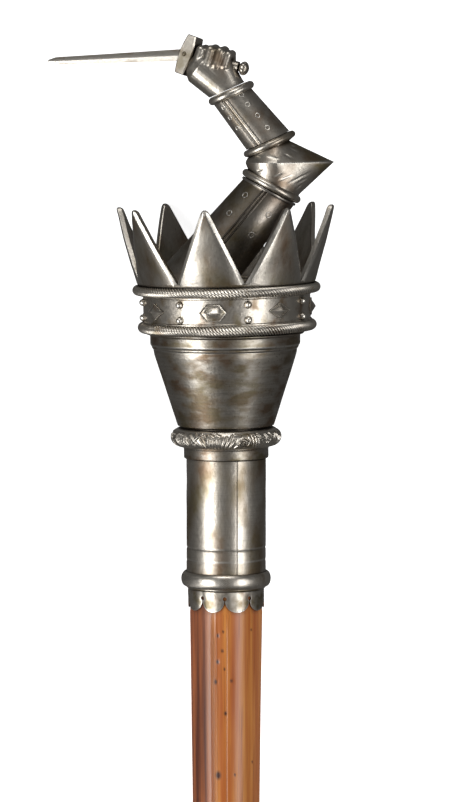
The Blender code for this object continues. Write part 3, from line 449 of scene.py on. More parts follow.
def make_tube():
    """Socket tube with two turned grooves and a seam."""
    path = rounded([(SOCKET_BORE, SOCKET_TOP), (SOCKET_BORE, HEM_TOP + 0.1), (HEM_RADIUS, HEM_TOP + 0.1),
                    (TUBE_RADIUS, HEM_TOP + 0.8), (TUBE_RADIUS, SOCKET_TOP)], 0.2)
    path = evenly(path, 0.7)
    columns = np.unique(np.round(np.concatenate((np.arange(0.0, 360.0, 2.0),
                                                 np.arange(12.0, 19.0, 0.4))), 2))[None, :]
    radius, height = path[:, :1], path[:, 1:]
    outer = radius > TUBE_RADIUS - 0.1
    cut = sum(0.28 * bell(height - groove, 0.28) for groove in TUBE_GROOVES)
    cut = cut + 0.12 * bell(bearing_gap(columns, TUBE_SEAM_BEARING), 0.5)
    base = radius - cut * outer
    grid = polar(base, columns, height)
    base = base + 0.05 * ripple(grid, 12.0, 8) * outer
    shape = Shape()
    near = sum(bell(height - groove - 0.5, 0.35) for groove in TUBE_GROOVES)
    shape.skin(polar(base, columns, height), 0.45 + 0.4 * near + 0 * base, closed=True)
    add_piece("socket_tube", shape,
              plated("tube_finish", 0.56, 0.5, blotch=75.0, stretch=(1.0, 1.0, 0.6), streaks=0.5),
              ["socket"], 40.0)


def make_bead():
    """Half-round ring, milled in diamonds that are worn away on its right."""
    columns, rows = 400, 26
    bearings = np.arange(columns) * 360.0 / columns
    angles = np.radians(np.linspace(-90.0, 90.0, rows))[:, None]
    bore = TUBE_RADIUS + 0.3
    checker = (np.add.outer(np.arange(rows), np.arange(columns)) % 2) - 0.5
    worn = np.clip(0.5 + 0.03 * (8.0 - bearing_gap(bearings, 0.0)), 0.05, 1.0)
    worn = np.where(bearing_gap(bearings, 0.0) < -120.0, 0.3, worn)
    milled = np.clip((np.cos(angles + 0.15) - 0.55) * 4.0, 0.0, 1.0) * worn
    bulge = (BEAD_RADIUS - bore) * np.maximum(np.cos(angles), 0.0) + 0.3 * checker * milled
    height = BEAD_HEIGHT + BEAD_HALF_HEIGHT * np.sin(angles) + 0 * bulge
    shape = Shape()
    shape.skin(polar(bore + bulge, bearings + 0 * bulge, height), 0.6 + 0.9 * checker * milled,
               closed=True)
    add_piece("milled_bead", shape, plated("bead_finish", 0.66, 0.22),
              ["socket_bead"], 4.0)


def make_cup():
    """Hollow cone with its collar, lip and flange."""
    outside = [(SOCKET_BORE, 68.3), (18.9, 68.3), (19.1, 68.9), (19.1, 72.6), (19.4, 73.2),
               (19.4, 82.7), CONE_START, CONE_END, (32.3, 117.0), (32.3, 117.6), (32.9, 118.0),
               (33.0, 118.8), (33.5, LIP_HEIGHT), (LIP_RADIUS, 120.2), (LIP_RADIUS, 123.8),
               (35.4, 124.4), (35.4, CUP_TOP)]
    inside = [(LIP_RADIUS - 1.3, CUP_TOP), (LIP_RADIUS - 1.7, LIP_HEIGHT + 0.5),
              (CONE_END[0] - 1.3, CONE_END[1] + 0.6), (CONE_START[0] - 1.3, CONE_START[1] + 1.2),
              (SOCKET_BORE, CONE_START[1] - 3.0), (SOCKET_BORE, 68.3)]
    path = evenly(rounded(outside + inside, 0.35), 1.2)[:-1]
    # Painted highlight: two bright lines at the lip step, set through the per-point value.
    rim = bell(path[:, 1] - 119.6, 0.5) + bell(path[:, 1] - 117.7, 0.35)
    shape = Shape()
    turned(shape, path, 200, 0.05, 11, (0.42 + 0.55 * np.repeat(rim, 200)))
    finish = plated("cup_finish", 0.44, 0.62, blotch=90.0, stretch=(1.0, 1.0, 2.0), streaks=1.0,
                    speckle=1.0)
    add_piece("cup_body", shape, finish, ["cup"], 35.0, CUP_LEAN)


# Leaf strokes of one quarter of the ring: bearing and height of both ends, and width
LEAF_STROKES = (
    (-43.0, 80.2, -31.0, 76.0, 0.42), (-40.0, 76.2, -28.0, 80.6, 0.42),
    (-41.0, 78.4, -37.0, 75.4, 0.3), (-36.0, 80.8, -32.0, 79.6, 0.3), (-33.0, 76.6, -27.0, 74.8, 0.32),
    (-29.0, 79.2, -24.5, 76.0, 0.34), (-25.5, 80.2, -21.0, 77.0, 0.3), (-24.5, 75.8, -22.5, 74.2, 0.3),
    (-20.5, 80.0, -19.0, 74.6, 0.34), (-16.5, 78.6, -15.2, 74.2, 0.34), (-12.4, 78.2, -11.2, 74.2, 0.34),
    (-8.2, 78.4, -7.4, 74.4, 0.34), (-17.0, 80.8, -13.0, 80.0, 0.26), (-10.0, 80.8, -6.0, 80.1, 0.26),
    (-4.5, 74.2, 0.5, 79.6, 0.36), (-1.0, 73.9, 6.5, 80.2, 0.42), (3.2, 74.0, 9.8, 78.4, 0.38),
    (7.8, 73.8, 12.6, 75.6, 0.34), (9.8, 80.6, 16.0, 79.8, 0.34), (24.5, 79.6, 28.0, 76.0, 0.34),
    (28.4, 80.2, 31.0, 74.6, 0.32), (32.0, 80.2, 34.4, 74.8, 0.32), (35.6, 79.8, 37.6, 75.4, 0.32),
    (37.0, 80.8, 45.5, 77.6, 0.36), (39.0, 78.4, 44.0, 75.2, 0.34))
VOLUTE = (20.0, 76.4)


def leaf_relief(bearings, heights):
    """Height of the leaf carving, which repeats each quarter turn."""
    place = (bearings + 45.0) % 90.0 - 45.0
    across = np.radians(place) * 24.0
    total = np.zeros(np.broadcast_shapes(bearings.shape, heights.shape))
    for start, low, end, high, width in LEAF_STROKES:
        ax, bx = math.radians(start) * 24.0, math.radians(end) * 24.0
        dx, dy = bx - ax, high - low
        share = np.clip(((across - ax) * dx + (heights - low) * dy) / (dx * dx + dy * dy), 0, 1)
        gap = np.hypot(across - ax - share * dx, heights - low - share * dy)
        total = np.maximum(total, bell(gap, width * 1.1))
    dx = across - math.radians(VOLUTE[0]) * 24.0
    dy = heights - VOLUTE[1]
    reach = np.hypot(dx, dy)
    coil = np.cos(2 * math.pi * (reach / 0.95 - np.arctan2(dy, dx) / (2 * math.pi)))
    scroll = np.clip(coil, 0.0, 1.0) * np.clip((2.9 - reach) * 2.0, 0.0, 1.0)
    return np.maximum(total, scroll)


def make_leaf_ring():
    """Half-round ring carved with leaves and a scroll in each quarter."""
    columns, rows = 760, 58
    bearings = np.arange(columns)[None, :] * 360.0 / columns
    angles = np.radians(np.linspace(-90.0, 90.0, rows))[:, None]
    height = LEAF_RING_HEIGHT + LEAF_RING_BULGE * np.sin(angles)
    relief = leaf_relief(bearings, height + 0 * bearings) * np.cos(angles)
    plain = np.clip((height - 80.9) * 3.0, 0.0, 1.0)
    relief = relief * (1.0 - plain)
    bulge = (LEAF_RING_BULGE - 0.4) * np.cos(angles) + 0.85 * relief + 0.35 * plain * np.cos(angles)
    bore = 19.7
    radius = np.maximum(bore, LEAF_RING_CENTRE + bulge)
    radius[0] = radius[-1] = bore
    shape = Shape()
    # Raised leaves read as rubbed bright and the hollows as tarnished; the plain top fillet is brightened as
    # a painted highlight.
    shape.skin(polar(radius, bearings + 0 * radius, height + 0 * radius),
               0.15 + 0.75 * relief + 0.75 * plain, closed=True)
    add_piece("leaf_ring_relief", shape, plated("leaf_finish", 0.64, 0.3),
              ["leaf_ring"], 50.0, CUP_LEAN)


def crown_outside(height):
    """Radius of the crown's outer face."""
    return CROWN_RADIUS + CROWN_FLARE * (height - NOTCH_HEIGHT)


def point_section(half, height, thickness, bearing):
    """Closed section of a crown point, with bevels along its outer edges."""
    bevel = min(1.7, half * 0.6)
    drop = 0.8 * thickness / POINT_THICKNESS
    inset = 0.5 * (POINT_THICKNESS - thickness)
    outline = [(-half, drop), (-half + bevel * 0.92, 0.08), (-half + bevel * 1.1, 0.0)]
    outline += [(x * (half - bevel * 1.1), 0.0) for x in (-0.6, -0.2, 0.2, 0.6)]
    outline += [(half - bevel * 1.1, 0.0), (half - bevel * 0.92, 0.08), (half, drop)]
    outline += [(half, thickness - 0.25), (half - min(0.3, half * 0.4), thickness)]
    outline += [(x * half, thickness) for x in (0.5, 0.0, -0.5)]
    outline += [(-half + min(0.3, half * 0.4), thickness), (-half, thickness - 0.25)]
    face = crown_outside(height)
    return np.array([polar(face - inset - deep, bearing + math.degrees(across / face), height)
                     for across, deep in outline])


def make_crown():
    """Sleeve, web and eight flared points with bevelled edges and blunt tips."""
    shape = Shape()
    low = crown_outside(WEB_HEIGHT + 0.2)
    path = rounded([(SLEEVE_BORE, SLEEVE_FOOT), (SLEEVE_RADIUS, SLEEVE_FOOT), (SLEEVE_RADIUS, WEB_HEIGHT),
                    (CROWN_RADIUS - 0.6, WEB_HEIGHT), (low - 0.05, WEB_HEIGHT + 0.5),
                    (CROWN_RADIUS - 0.05, NOTCH_HEIGHT), (CROWN_RADIUS - 2.9, NOTCH_HEIGHT),
                    (CROWN_RADIUS - 3.1, WEB_HEIGHT + 0.6), (SLEEVE_BORE, WEB_HEIGHT + 0.3),
                    (SLEEVE_BORE, SLEEVE_FOOT)], 0.2)[:-1]
    turned(shape, path, 240, 0.0)
    half_pitch = math.radians(180.0 / POINTS) * CROWN_RADIUS
    for n in range(POINTS):
        bearing = FIRST_TIP + 360.0 * n / POINTS
        rings = []
        for level in np.concatenate((np.linspace(-0.015, 0.94, 24), (0.965, 0.985, 1.0))):
            half = half_pitch * (1.0 - level) + 1.2 * level
            thickness = POINT_THICKNESS
            if level > 0.95:
                end = math.sqrt(max(0.0, 1.0 - ((level - 0.95) / 0.05) ** 2))
                half = max(0.35, half * (0.45 + 0.55 * end))
                thickness = 1.2 + (POINT_THICKNESS - 1.2) * end
            height = NOTCH_HEIGHT + (TIP_HEIGHT - NOTCH_HEIGHT) * level
            rings.append(point_section(half, height, thickness, bearing))
        grid = np.array(rings)
        warp = ripple(grid, 16.0, 21) * 0.12
        grid = grid + warp[..., None] * unit(polar(1.0, bearing, 0.0))
        wear_stain_and_highlight = np.full(grid.shape[:2], 0.38)
        wear_stain_and_highlight[:, [0, 1, 2, 7, 8, 9]] = 0.82
        wear_stain_and_highlight[-4:] = 0.85
        wear_stain_and_highlight[:, 10:] = 0.2
        shape.skin(grid, wear_stain_and_highlight)
    add_piece("crown_plate", shape,
              plated("crown_finish", 0.47, 0.58, blotch=70.0, stretch=(1.0, 1.0, 0.5), speckle=0.4),
              ["crown_points"], 25.0, CROWN_LEAN)


def make_rope(name, rope, lean):
    """Rope edge: a ring of slanting strands."""
    strands, turns, columns, rows = 170, 7, 1020, 64
    centre, height, size = rope
    bearings = np.arange(columns)[None, :] * 360.0 / columns
    angles = np.arange(rows)[:, None] * 2 * math.pi / rows
    phase = np.radians(bearings) * strands + angles * turns
    strand = abs(np.sin(0.5 * phase))
    radius = size * (0.74 + 0.26 * strand)
    across = np.maximum(centre + radius * np.cos(angles), BAND_BORE)
    shape = Shape()
    shape.skin(polar(across, bearings + 0 * across, height + radius * np.sin(angles)),
               0.05 + 0.85 * strand ** 2, closed=True)
    add_piece(name, shape, plated(name + "_finish", 0.68, 0.2),
              ["jewelled_band"], 60.0, lean)


def setting_ring(bearing, radius, outline, scale, up=0.0):
    """Outline of a jewel or pellet laid on the band, at a radius."""
    across = np.degrees(outline[:, 0] * scale[0] / BAND_RADIUS)
    return polar(radius + 0 * across, bearing + across, SETTING_HEIGHT + outline[:, 1] * scale[1] + up)


def make_band():
    """Plate between the ropes, with its jewels and pairs of pellets."""
    low = LOW_ROPE[1] + LOW_ROPE[2] - 0.6
    high = HIGH_ROPE[1] - HIGH_ROPE[2] + 0.6
    plate = Shape()
    path = evenly(rounded([(BAND_BORE, low), (BAND_RADIUS + 0.5, low), (BAND_RADIUS + 0.5, low + 1.1),
                           (BAND_RADIUS, low + 1.3), (BAND_RADIUS, high - 1.5),
                           (BAND_RADIUS + 0.6, high - 1.2),
                           (BAND_RADIUS + 0.6, high), (BAND_BORE, high), (BAND_BORE, low)], 0.15)[:-1], 0.8)
    turned(plate, path, 300, 0.04, 31)
    add_piece("band_plate", plate, plated("band_finish", 0.6, 0.42, blotch=150.0),
              ["jewelled_band"], 35.0, CROWN_LEAN)
    studs = Shape()
    long, wide = JEWEL_HALF_LENGTH, JEWEL_HALF_WIDTH
    hexagon = np.array([(-long, 0), (-long * 0.5, -wide), (long * 0.5, -wide), (long, 0),
                        (long * 0.5, wide), (-long * 0.5, wide)], float)
    lozenge = np.array([(-long, 0), (0, -wide), (long, 0), (0, wide)], float)
    turn = np.arange(24) * math.tau / 24
    disc = np.stack((np.cos(turn), np.sin(turn)), 1)
    for i in range(SETTINGS):
        bearing = FIRST_SETTING + 360.0 * i / SETTINGS
        if i % 2 == 0:
            for offset in (PELLET_OFFSET, -PELLET_OFFSET):
                rings = [setting_ring(bearing, BAND_RADIUS - 0.4, disc, (1.75, 1.75), offset),
                         setting_ring(bearing, BAND_RADIUS + 0.25, disc, (1.75, 1.75), offset)]
                for angle in np.radians((12.0, 30.0, 48.0, 66.0, 82.0)):
                    size = 1.6 * math.cos(angle)
                    lift = BAND_RADIUS + 0.3 + 1.7 * math.sin(angle)
                    rings.append(setting_ring(bearing, lift, disc, (size, size), offset))
                studs.skin(np.array(rings), np.repeat((0.1, 0.2, 0.6, 0.75, 0.85, 0.9, 0.95), 24))
            continue
        outline = lozenge if i % 4 == 1 else hexagon
        top = (0.4, 0.05) if i % 4 == 1 else (0.48, 0.12)
        levels = ((-0.4, 1.0, 1.0, 0.2), (0.55, 1.0, 1.0, 0.75), (0.7, 0.95, 0.94, 0.9),
                  (0.45, 0.84, 0.82, 0.1), (0.5, 0.8, 0.78, 0.2), (JEWEL_RISE - 0.15, *top, 0.8),
                  (JEWEL_RISE, top[0] * 0.9, top[1] * 0.5, 0.95))
        rings = [setting_ring(bearing, BAND_RADIUS + lift, outline, (a, b)) for lift, a, b, _ in levels]
        wear_stain_and_highlight = np.repeat([level[3] for level in levels], len(outline))
        studs.skin(np.array(rings), wear_stain_and_highlight)
    add_piece("band_settings", studs, plated("setting_finish", 0.68, 0.3),
              ["jewelled_band"], 28.0, CROWN_LEAN)
    make_rope("band_low_rope", LOW_ROPE, CROWN_LEAN)
    make_rope("band_high_rope", HIGH_ROPE, CROWN_LEAN)


def make_floor_plate():
    """Plate inside the crown, given a dark tone and heavy tarnish as painted shade for the enclosed hollow.
    """
    path = rounded([(0.01, FLOOR_TOP - FLOOR_THICKNESS), (FLOOR_RADIUS, FLOOR_TOP - FLOOR_THICKNESS),
                    (FLOOR_RADIUS, FLOOR_TOP), (0.01, FLOOR_TOP)], 0.3)
    shape = Shape()
    # Painted shade: the plate's low tone and value darken the crown's hollow.
    turned(shape, evenly(path, 2.0), 120, 0.03, 41, 0.2)
    add_piece("crown_floor_plate", shape, plated("floor_finish", 0.35, 0.75),
              ["crown_floor"], 35.0, CROWN_LEAN)


def arm_ring(centre, slope, half_width, half_depth, bearings, lifts=0.0):
    """Oval section of the arm in a plane that slopes up to the right."""
    turn = np.radians(bearings)
    across = (half_width + lifts) * np.sin(turn)
    return arm_point(centre[0] + across * math.cos(slope), centre[1] + across * math.sin(slope),
                     (half_depth + lifts) * np.cos(turn))


def shifted(centre, slope, distance):
    """Centre moved at right angles to a sloping section."""
    return (centre[0] - distance * math.sin(slope), centre[1] + distance * math.cos(slope))


def moulding(centre, slope, half_width, half_depth, bulge, bearings):
    """Sections of a half-round ring, from its top down."""
    rings = []
    for angle in np.radians(np.linspace(90.0, -90.0, 13)):
        out = bulge * max(math.cos(angle), 0.0)
        place = shifted(centre, slope, bulge * math.sin(angle))
        rings.append(arm_ring(place, slope, half_width + out, half_depth + out, bearings))
    return rings


def add_punched_rings(shape, grid, places, size):
    """Small raised rings on the front of a skin, at (right, height) places."""
    flat = grid.reshape(-1, 3)
    front = flat[:, 1] < np.median(flat[:, 1])
    facing = flat[front]
    for place in places:
        order = np.argsort((facing[:, 0] - place[0]) ** 2 + (facing[:, 2] - place[1]) ** 2)
        near = facing[order[:24]]
        middle = near.mean(0)
        normal = np.linalg.svd(near - middle)[2][2]
        normal = -normal if normal[1] > 0 else normal
        side = unit(np.cross(normal, (0.0, 0.0, 1.0)))
        other = np.cross(normal, side)
        turn = np.arange(20)[:, None] * math.tau / 20
        rings = []
        for angle in np.arange(8) * math.tau / 8:
            reach = size * (1.0 + 0.28 * math.cos(angle))
            rings.append(middle + normal * (size * 0.24 * math.sin(angle))
                         + side * reach * np.cos(turn) + other * reach * np.sin(turn))
        shape.skin(np.array(rings), 1.0, closed=True)


def ribbed(bearings, centre, gap, width, rise):
    """Two fine ridges side by side along a plate."""
    off = bearing_gap(bearings, centre)
    return rise * (bell(off + gap, width) + bell(off - gap, width) - 0.6 * bell(off, gap * 0.7))


def make_upper_arm():
    """Plate tube from the crown's floor to the elbow, with a double rib and punched rings."""
    bearings = np.unique(np.concatenate((np.arange(-180.0, 180.0, 2.5), np.arange(-20.0, 4.0, 0.6))))
    lifts = ribbed(bearings, ARM_RIB_BEARING, 4.2, 1.2, 0.6)
    place = shifted(LOW_RING, LOW_SLOPE, -LOW_RING_BULGE - 1.6)
    top = arm_ring(place, LOW_SLOPE, LOW_RING_HALF, LOW_RING_HALF, bearings, lifts)
    base = arm_ring(SHOULDER, 0.0, *SHOULDER_HALF, bearings, lifts)
    base[:, 2] = FLOOR_TOP + 0.35 - (base[:, 0] + 0.06) * math.tan(math.radians(1.2))
    share = np.linspace(0.0, 1.0, 60)[:, None, None]
    grid = base * (1.0 - share) + top * share
    shape = Shape()
    flange = [arm_ring(shifted(LOW_RING, LOW_SLOPE, -LOW_RING_BULGE - 0.3 - below), LOW_SLOPE,
                       LOW_RING_HALF + wider, LOW_RING_HALF + wider, bearings)
              for below, wider in ((1.1, 0.1), (1.0, 0.5), (0.8, 0.6), (0.2, 0.6), (0.0, 0.5))]
    whole = np.concatenate((grid, flange))
    wear_stain_and_highlight = np.full(whole.shape[:2], 0.32) + lifts * 1.1
    wear_stain_and_highlight[60:] = 0.9
    shape.skin(whole, wear_stain_and_highlight)
    add_punched_rings(shape, grid, ((8.4, 186.6), (1.3, 178.8), (18.8, 178.0), (11.2, 169.2)), 1.2)
    # The right half of the upper arm is darkened as painted shade and tarnish.
    add_piece("upper_arm_plate", shape,
              plated("upper_arm_finish", 0.42, 0.66, blotch=60.0, shade_and_tarnish_right=0.5),
              ["upper_arm"], 40.0)


def elbow_reach(angle, tip_angle):
    """Distance from the hinge line to the straight edge that runs to the tip."""
    corner = ELBOW_TOP_EDGE if angle > tip_angle else ELBOW_LOW_EDGE
    run, rise = corner[0] - ELBOW_TIP[0], corner[1] - ELBOW_TIP[1]
    cross = (ELBOW_TIP[0] - ELBOW_HINGE[0]) * rise - (ELBOW_TIP[1] - ELBOW_HINGE[1]) * run
    return cross / (math.cos(angle) * rise - math.sin(angle) * run)


def elbow_section(angle, tip_angle, bearings):
    """Section of the elbow piece in a plane through its hinge line."""
    upper = angle > tip_angle
    slope = HIGH_SLOPE if upper else LOW_SLOPE
    side = (angle - tip_angle) / (slope - tip_angle)
    ridge = 0.5 * (HIGH_RING_HALF + LOW_RING_HALF) + ELBOW_RIDGE
    depth = ridge + ((HIGH_RING_HALF * DEPTH_RATIO if upper else LOW_RING_HALF) - ridge) * side
    middle = 18.3 + ((17.4 if upper else 19.2) - 18.3) * side
    near = 6.5 - 1.9 * (1.0 - side ** 2)
    power = 2.0 / (1.2 + 0.8 * side)
    turn = np.radians(bearings)
    across, forward = np.sin(turn), np.cos(turn)
    outer = middle + (elbow_reach(angle, tip_angle) - middle) * np.maximum(across, 0.0) ** power
    reach = np.where(across < 0.0, middle + (middle - near) * across, outer)
    front = np.where(across < 0.0, forward, np.sign(forward) * abs(forward) ** power) * depth
    return arm_point(ELBOW_HINGE[0] + reach * math.cos(angle),
                     ELBOW_HINGE[1] + reach * math.sin(angle), front)


# Engraved strokes of the elbow piece, each from (right, height) to (right, height)
ELBOW_STROKES = (((11.3, 205.2), (15.6, 203.4)), ((17.9, 204.1), (23.4, 202.8)),
                 ((25.7, 205.1), (29.5, 202.9)), ((28.4, 207.5), (32.0, 205.7)),
                 ((28.9, 208.8), (31.0, 208.1)), ((13.7, 197.3), (16.2, 198.2)),
                 ((20.6, 194.8), (25.0, 196.6)), ((23.3, 193.2), (29.7, 195.7)),
                 ((27.1, 191.6), (37.3, 196.6)), ((31.2, 191.5), (36.2, 194.1)),
                 ((31.2, 188.9), (33.9, 191.6)))


def make_elbow():
    """Pointed elbow piece with its ridge and engraved rays, between two rings."""
    bearings = np.arange(0.0, 360.0, 1.5)
    tip = math.atan2(ELBOW_TIP[1] - ELBOW_HINGE[1], ELBOW_TIP[0] - ELBOW_HINGE[0])
    angles = [tip + (HIGH_SLOPE - tip) * s for s in np.linspace(0.92, 0.0, 50)]
    angles += [tip + (LOW_SLOPE - tip) * s for s in np.linspace(0.0, 0.94, 58)[1:]]
    grid = np.array([elbow_section(angle, tip, bearings) for angle in angles])
    groove = np.zeros(grid.shape[:2])
    for (ax, az), (bx, bz) in ELBOW_STROKES:
        share = ((grid[..., 0] - ax) * (bx - ax) + (grid[..., 2] - az) * (bz - az))
        share = np.clip(share / ((bx - ax) ** 2 + (bz - az) ** 2), 0.0, 1.0)
        gap = np.hypot(grid[..., 0] - ax - share * (bx - ax), grid[..., 2] - az - share * (bz - az))
        groove = np.maximum(groove, bell(gap, 0.38) * np.sin(0.15 + share * 2.8))
    centre = grid.mean(1, keepdims=True)
    out = grid - centre
    out = out / np.linalg.norm(out, axis=2, keepdims=True)
    grid = grid - out * (0.25 * groove + 0.05 * ripple(grid, 10.0, 51))[..., None]
    rows = moulding(HIGH_RING, HIGH_SLOPE, HIGH_RING_HALF, HIGH_RING_HALF * DEPTH_RATIO,
                    HIGH_RING_BULGE, bearings)
    low = moulding(LOW_RING, LOW_SLOPE, LOW_RING_HALF, LOW_RING_HALF, LOW_RING_BULGE, bearings)
    # Painted highlight: a bright band along the ridge, set through the per-point value.
    ridge = bell(np.arange(len(angles)) - 49.0, 2.2)[:, None]
    wear_stain_and_highlight = np.concatenate((np.full((13, len(bearings)), 0.6), 0.4 + 0.5 * groove + 0.45 * ridge,
                           np.full((13, len(bearings)), 0.6)))
    shape = Shape()
    shape.skin(np.concatenate((rows, grid, low)), wear_stain_and_highlight)
    add_piece("elbow_plate", shape, plated("elbow_finish", 0.56, 0.5, blotch=60.0),
              ["elbow_cop"], 35.0)


def make_forearm():
    """Plate tube from the elbow to the wrist ring, with a double rib and punched rings."""
    bearings = np.unique(np.concatenate((np.arange(-180.0, 180.0, 2.5), np.arange(-42.0, -10.0, 0.6))))
    lifts = ribbed(bearings, FOREARM_RIB_BEARING, 6.5, 1.9, 0.55)
    start = shifted(HIGH_RING, HIGH_SLOPE, HIGH_RING_BULGE + 0.3)
    end = shifted(WRIST_RING, HIGH_SLOPE, -WRIST_RING_BULGE - 0.2)
    wide = HIGH_RING_HALF - 0.6
    low = arm_ring(start, HIGH_SLOPE, wide, wide * DEPTH_RATIO, bearings, lifts)
    high = arm_ring(end, HIGH_SLOPE, WRIST_RING_HALF, WRIST_RING_HALF * DEPTH_RATIO, bearings, lifts)
    share = np.linspace(0.0, 1.0, 50)[:, None, None]
    grid = low * (1.0 - share) + high * share
    ring = moulding(WRIST_RING, HIGH_SLOPE, WRIST_RING_HALF, WRIST_RING_HALF * DEPTH_RATIO,
                    WRIST_RING_BULGE, bearings)[::-1]
    wear_stain_and_highlight = np.concatenate((np.full(grid.shape[:2], 0.42) + lifts, np.full((13, len(bearings)), 0.62)))
    shape = Shape()
    shape.skin(np.concatenate((grid, ring)), wear_stain_and_highlight)
    left = ((-1.6, 225.3), (1.6, 220.9), (5.0, 216.3))
    right = ((6.6, 232.0), (9.7, 227.0), (14.0, 222.1), (18.4, 216.7))
    add_punched_rings(shape, grid, left + right, 1.0)
    add_piece("forearm_plate", shape, plated("forearm_finish", 0.6, 0.45, blotch=80.0),
              ["forearm"], 40.0)


def bone(shape, start, end, start_radius, end_radius, sides=20):
    """Rounded, tapering rod between two points."""
    axis = unit(end - start)
    side = unit(np.cross(axis, (0.3, 0.5, 0.8)))
    other = np.cross(axis, side)
    turn = np.arange(sides)[:, None] * math.tau / sides
    rings = []
    ends = ((start, start_radius, (-85, -65, -45, -20)), (end, end_radius, (20, 45, 65, 85)))
    for centre, radius, angles in ends:
        for angle in np.radians(angles):
            spread = radius * math.cos(angle)
            rings.append(centre + axis * radius * math.sin(angle)
                         + side * spread * np.cos(turn) + other * spread * np.sin(turn))
    shape.skin(np.array(rings))


def dagger_frame():
    """Guard, pommel, and the directions along, up and forward of the dagger."""
    guard = arm_point(*GUARD_CENTRE, 0.0)
    run, drop = POMMEL_CENTRE[0] - GUARD_CENTRE[0], POMMEL_CENTRE[1] - GUARD_CENTRE[1]
    pommel = guard + (run, -run * math.tan(DAGGER_TURN), drop)
    middle = (guard + pommel) * 0.5
    lift = np.array((0.0, arm_point(middle[0], middle[2], 0.0)[1] - middle[1], 0.0))
    guard, pommel = guard + lift, pommel + lift
    along = unit(pommel - guard)
    up = unit(np.cross((0.0, -1.0, 0.0), along))
    up = -up if up[2] < 0 else up
    forward = np.cross(along, up)
    forward = -forward if forward[1] > 0 else forward
    return guard, pommel, along, up, forward


# Hand: millimetres along the grip, up and forward from the middle of the grip
PALM_LOBES = ((-3.8, 5.2, 8.8), (0.8, 4.2, 7.4), (3.6, 3.0, 6.4))
FINGER_PATH = ((6.2, -1.2), (4.3, 5.0), (-2.8, 6.0), (-6.6, 2.0), (-5.2, -3.0))
FINGER_RADII = (2.5, 2.45, 2.35, 2.2, 1.9)
FINGERS = ((-7.0, 0.96, 1.3), (-2.6, 1.02, 0.7), (1.8, 0.98, 0.2), (5.6, 0.84, 0.0))
THUMB_PATH = ((-4.5, -8.0, -1.5), (-7.4, -3.8, -6.8), (-5.2, 1.4, -9.6), (-0.6, 3.4, -9.8))
THUMB_RADII = (4.0, 2.9, 2.5, 2.1)
HAND_VOXEL = 0.32


def make_hand():
    """Closed hand: bones run together, softened, and cut off at the wrist ring and the guard."""
    guard, pommel, along, up, forward = dagger_frame()
    middle = (guard + pommel) * 0.5
    wrist = arm_point(*WRIST_RING, 0.0)
    raw = Shape()
    for shift, low, radius in PALM_LOBES:
        bone(raw, wrist, middle + along * shift - up * low + forward * 0.8, 8.2, radius, 28)
    for place, size, drop in FINGERS:
        spots = [middle + along * place + forward * front * size + up * (high * size - drop)
                 for front, high in FINGER_PATH]
        for i in range(4):
            bone(raw, spots[i], spots[i + 1], FINGER_RADII[i] * size, FINGER_RADII[i + 1] * size)
    thumb = [middle + along * a + up * u + forward * f for a, u, f in THUMB_PATH]
    for i in range(3):
        bone(raw, thumb[i], thumb[i + 1], THUMB_RADII[i], THUMB_RADII[i + 1])
    hand = add_piece("hand", raw, plated("hand_finish", 0.6, 0.4, blotch=70.0),
                     ["fist"], 80.0)
    remesh = hand.modifiers.new("Run together", "REMESH")
    remesh.mode = "VOXEL"
    remesh.voxel_size = HAND_VOXEL * METRES
    soften = hand.modifiers.new("Soften", "SMOOTH")
    soften.factor = 0.5
    soften.iterations = 6
    bpy.context.view_layer.update()
    ready = hand.evaluated_get(bpy.context.evaluated_depsgraph_get())
    bm = bmesh.new()
    bm.from_mesh(ready.to_mesh())
    ready.to_mesh_clear()
    hand.modifiers.clear()
    place = shifted(WRIST_RING, HIGH_SLOPE, WRIST_RING_BULGE + 0.3)
    wrist_up = unit((-math.sin(HIGH_SLOPE), 0.0, math.cos(HIGH_SLOPE)))
    bmesh.ops.transform(bm, matrix=STAFF.inverted(), verts=bm.verts)
    cuts = ((arm_point(*place, 0.0), wrist_up), (guard + guard_axes()[0] * 3.7, guard_axes()[0]))
    for spot, normal in cuts:
        geometry = bm.verts[:] + bm.edges[:] + bm.faces[:]
        bmesh.ops.bisect_plane(bm, geom=geometry, plane_co=spot * METRES, plane_no=normal,
                               clear_inner=True)
        bmesh.ops.holes_fill(bm, edges=[e for e in bm.edges if e.is_boundary], sides=0)
    bmesh.ops.triangulate(bm, faces=[f for f in bm.faces if len(f.verts) > 4])
    bmesh.ops.recalc_face_normals(bm, faces=bm.faces)
    bm.to_mesh(hand.data)
    bm.free()
    for layer in ("upright", "wear_stain_and_highlight"):
        if layer in hand.data.attributes:
            hand.data.attributes.remove(hand.data.attributes[layer])
    keep_upright(hand.data)
    hand.data.transform(STAFF)
    hand.data.shade_smooth()
    hand.data.set_sharp_from_angle(angle=math.radians(60.0))
    layer = hand.data.attributes.new("wear_stain_and_highlight", "FLOAT", "POINT")
    layer.data.foreach_set("value", np.full(len(hand.data.vertices), 0.5, np.float32))


def guard_axes():
    """Directions across the guard, towards the pommel, back through it, and along it."""
    long = np.array((math.sin(GUARD_TILT), 0.0, math.cos(GUARD_TILT)))
    flat = Vector((math.cos(GUARD_TILT), 0.0, -math.sin(GUARD_TILT)))
    across = np.array(Matrix.Rotation(-GUARD_TURN, 3, Vector(long)) @ flat)
    return across, np.cross(long, across), long


